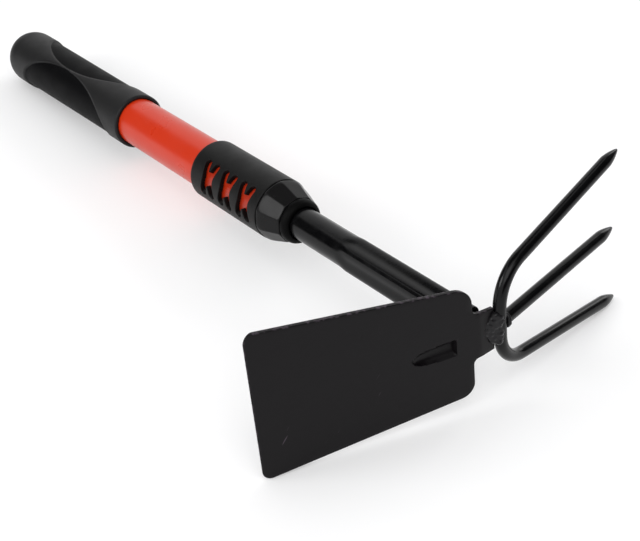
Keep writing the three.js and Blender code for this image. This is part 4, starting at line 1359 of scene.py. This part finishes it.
def set_camera(sizes):
    eye = Vector(sizes.eye) + ORIGIN
    sight, right = Vector(sizes.sight).normalized(), Vector(sizes.right).normalized()
    data = bpy.data.cameras.new("photo_camera")
    data.lens = sizes.lens
    data.sensor_width = 36
    data.clip_start = 0.01
    camera = linked("photo_camera", data)
    turn = Matrix((right, right.cross(sight).normalized(), -sight)).transposed().to_4x4()
    camera.matrix_world = Matrix.Translation(eye) @ turn
    bpy.context.scene.camera = camera


def set_lamps(sizes):
    for name, place, width, height, power in (
        ("tine_box", (1.25, -0.07, 0.65), 0.8, 0.8, sizes.tine_box),
        ("side_box", (-1.0, 0.25, 0.72), 0.6, 0.45, sizes.side_box),
        ("front_box", (-0.5, -0.9, 1.1), 1.0, 1.0, sizes.front_box),
    ):
        data = bpy.data.lights.new(name, "AREA")
        data.shape = "RECTANGLE"
        data.size = width
        data.size_y = height
        data.energy = power
        lamp = linked(name, data)
        lamp.location = place
        lamp.rotation_euler = (-Vector(place)).to_track_quat("-Z", "Y").to_euler()


def set_cards():
    """Black cards, as in a studio, which only the gloss of the hoe shows: painted dark reflections that block
    no light and cast no shadow.
    """
    finish = card_black()
    for name, place, width, height in (
        ("dark_card_behind", (-0.62, 0.93, 0.53), 1.3, 0.9),
        ("dark_card_right", (0.9, -0.57, 0.69), 1.6, 1.3),
        ("dark_card_front", (0.05, -1.4, 0.42), 1.9, 0.7),
        ("dark_card_above", (0.1, 0.25, 1.25), 1.1, 1.1),
    ):
        turn = Vector(place).to_track_quat("Z", "Y").to_matrix()
        points = [Vector(place) + turn @ Vector((x * width, y * height, 0)) for x, y in SQUARE]
        mesh = mesh_of(name, points, [(0, 1, 2, 3)])
        mesh.materials.append(finish)
        card = linked(name, mesh)
        # Painted dark reflection: the card is seen only in the gloss, never by the camera, the diffuse light
        # or the shadows.
        card.visible_camera = False
        card.visible_diffuse = False
        card.visible_shadow = False


def set_surroundings(sizes):
    """Pale surroundings, white where they are seen."""
    world = bpy.data.worlds.new("pale_surroundings")
    bpy.context.scene.world = world
    world.use_nodes = True
    sky = Wiring(world.node_tree)
    background = world.node_tree.nodes["Background"].inputs
    background["Color"].default_value = (1, 1, 1, 1)
    sky.feed(background["Strength"], sky.range(sky.seen(), 0.0, 1.0, sizes.world, 1.0))


class HOE_OT_stage(Operator):
    """Sets the floor, the lamps, the pale surroundings and the camera"""

    bl_idname = "hoe.stage"
    bl_label = "Stage"

    def execute(self, context):
        sizes = context.scene.hoe_stage
        set_floor(sizes)
        set_camera(sizes)
        set_lamps(sizes)
        set_cards()
        set_surroundings(sizes)
        context.scene.view_settings.view_transform = "Standard"
        return {"FINISHED"}


# Add-on


GROUPS = {
    "hoe_handle": HandleSizes, "hoe_collar": CollarSizes, "hoe_head": HeadSizes,
    "hoe_finishes": Finishes, "hoe_stage": StageSizes,
}
OPERATORS = (
    HOE_OT_handle_tube, HOE_OT_rubber_grip, HOE_OT_collar_sleeve, HOE_OT_lock_nut, HOE_OT_fluted_tube,
    HOE_OT_blade, HOE_OT_tines, HOE_OT_welds, HOE_OT_inner_pieces, HOE_OT_stage,
)


class HOE_PT_pieces(Panel):
    """Lists the hoe's pieces in the sidebar"""

    bl_idname = "HOE_PT_pieces"
    bl_label = "Double hoe"
    bl_space_type = "VIEW_3D"
    bl_region_type = "UI"
    bl_category = "Hoe"

    def draw(self, context):
        column = self.layout.column(align=True)
        for kind in OPERATORS:
            column.operator(kind.bl_idname)
        for name, kind in GROUPS.items():
            box = self.layout.box()
            box.label(text=kind.__doc__)
            for size in kind.__annotations__:
                box.prop(getattr(context.scene, name), size)


CLASSES = (*GROUPS.values(), *OPERATORS, HOE_PT_pieces)


def register():
    for kind in CLASSES:
        bpy.utils.register_class(kind)
    for name, kind in GROUPS.items():
        setattr(bpy.types.Scene, name, PointerProperty(type=kind))


def unregister():
    for name in GROUPS:
        delattr(bpy.types.Scene, name)
    for kind in reversed(CLASSES):
        bpy.utils.unregister_class(kind)


def main():
    register()
    for kind in OPERATORS:
        group, name = kind.bl_idname.split(".")
        getattr(getattr(bpy.ops, group), name)()


if __name__ == "__main__":
    main()
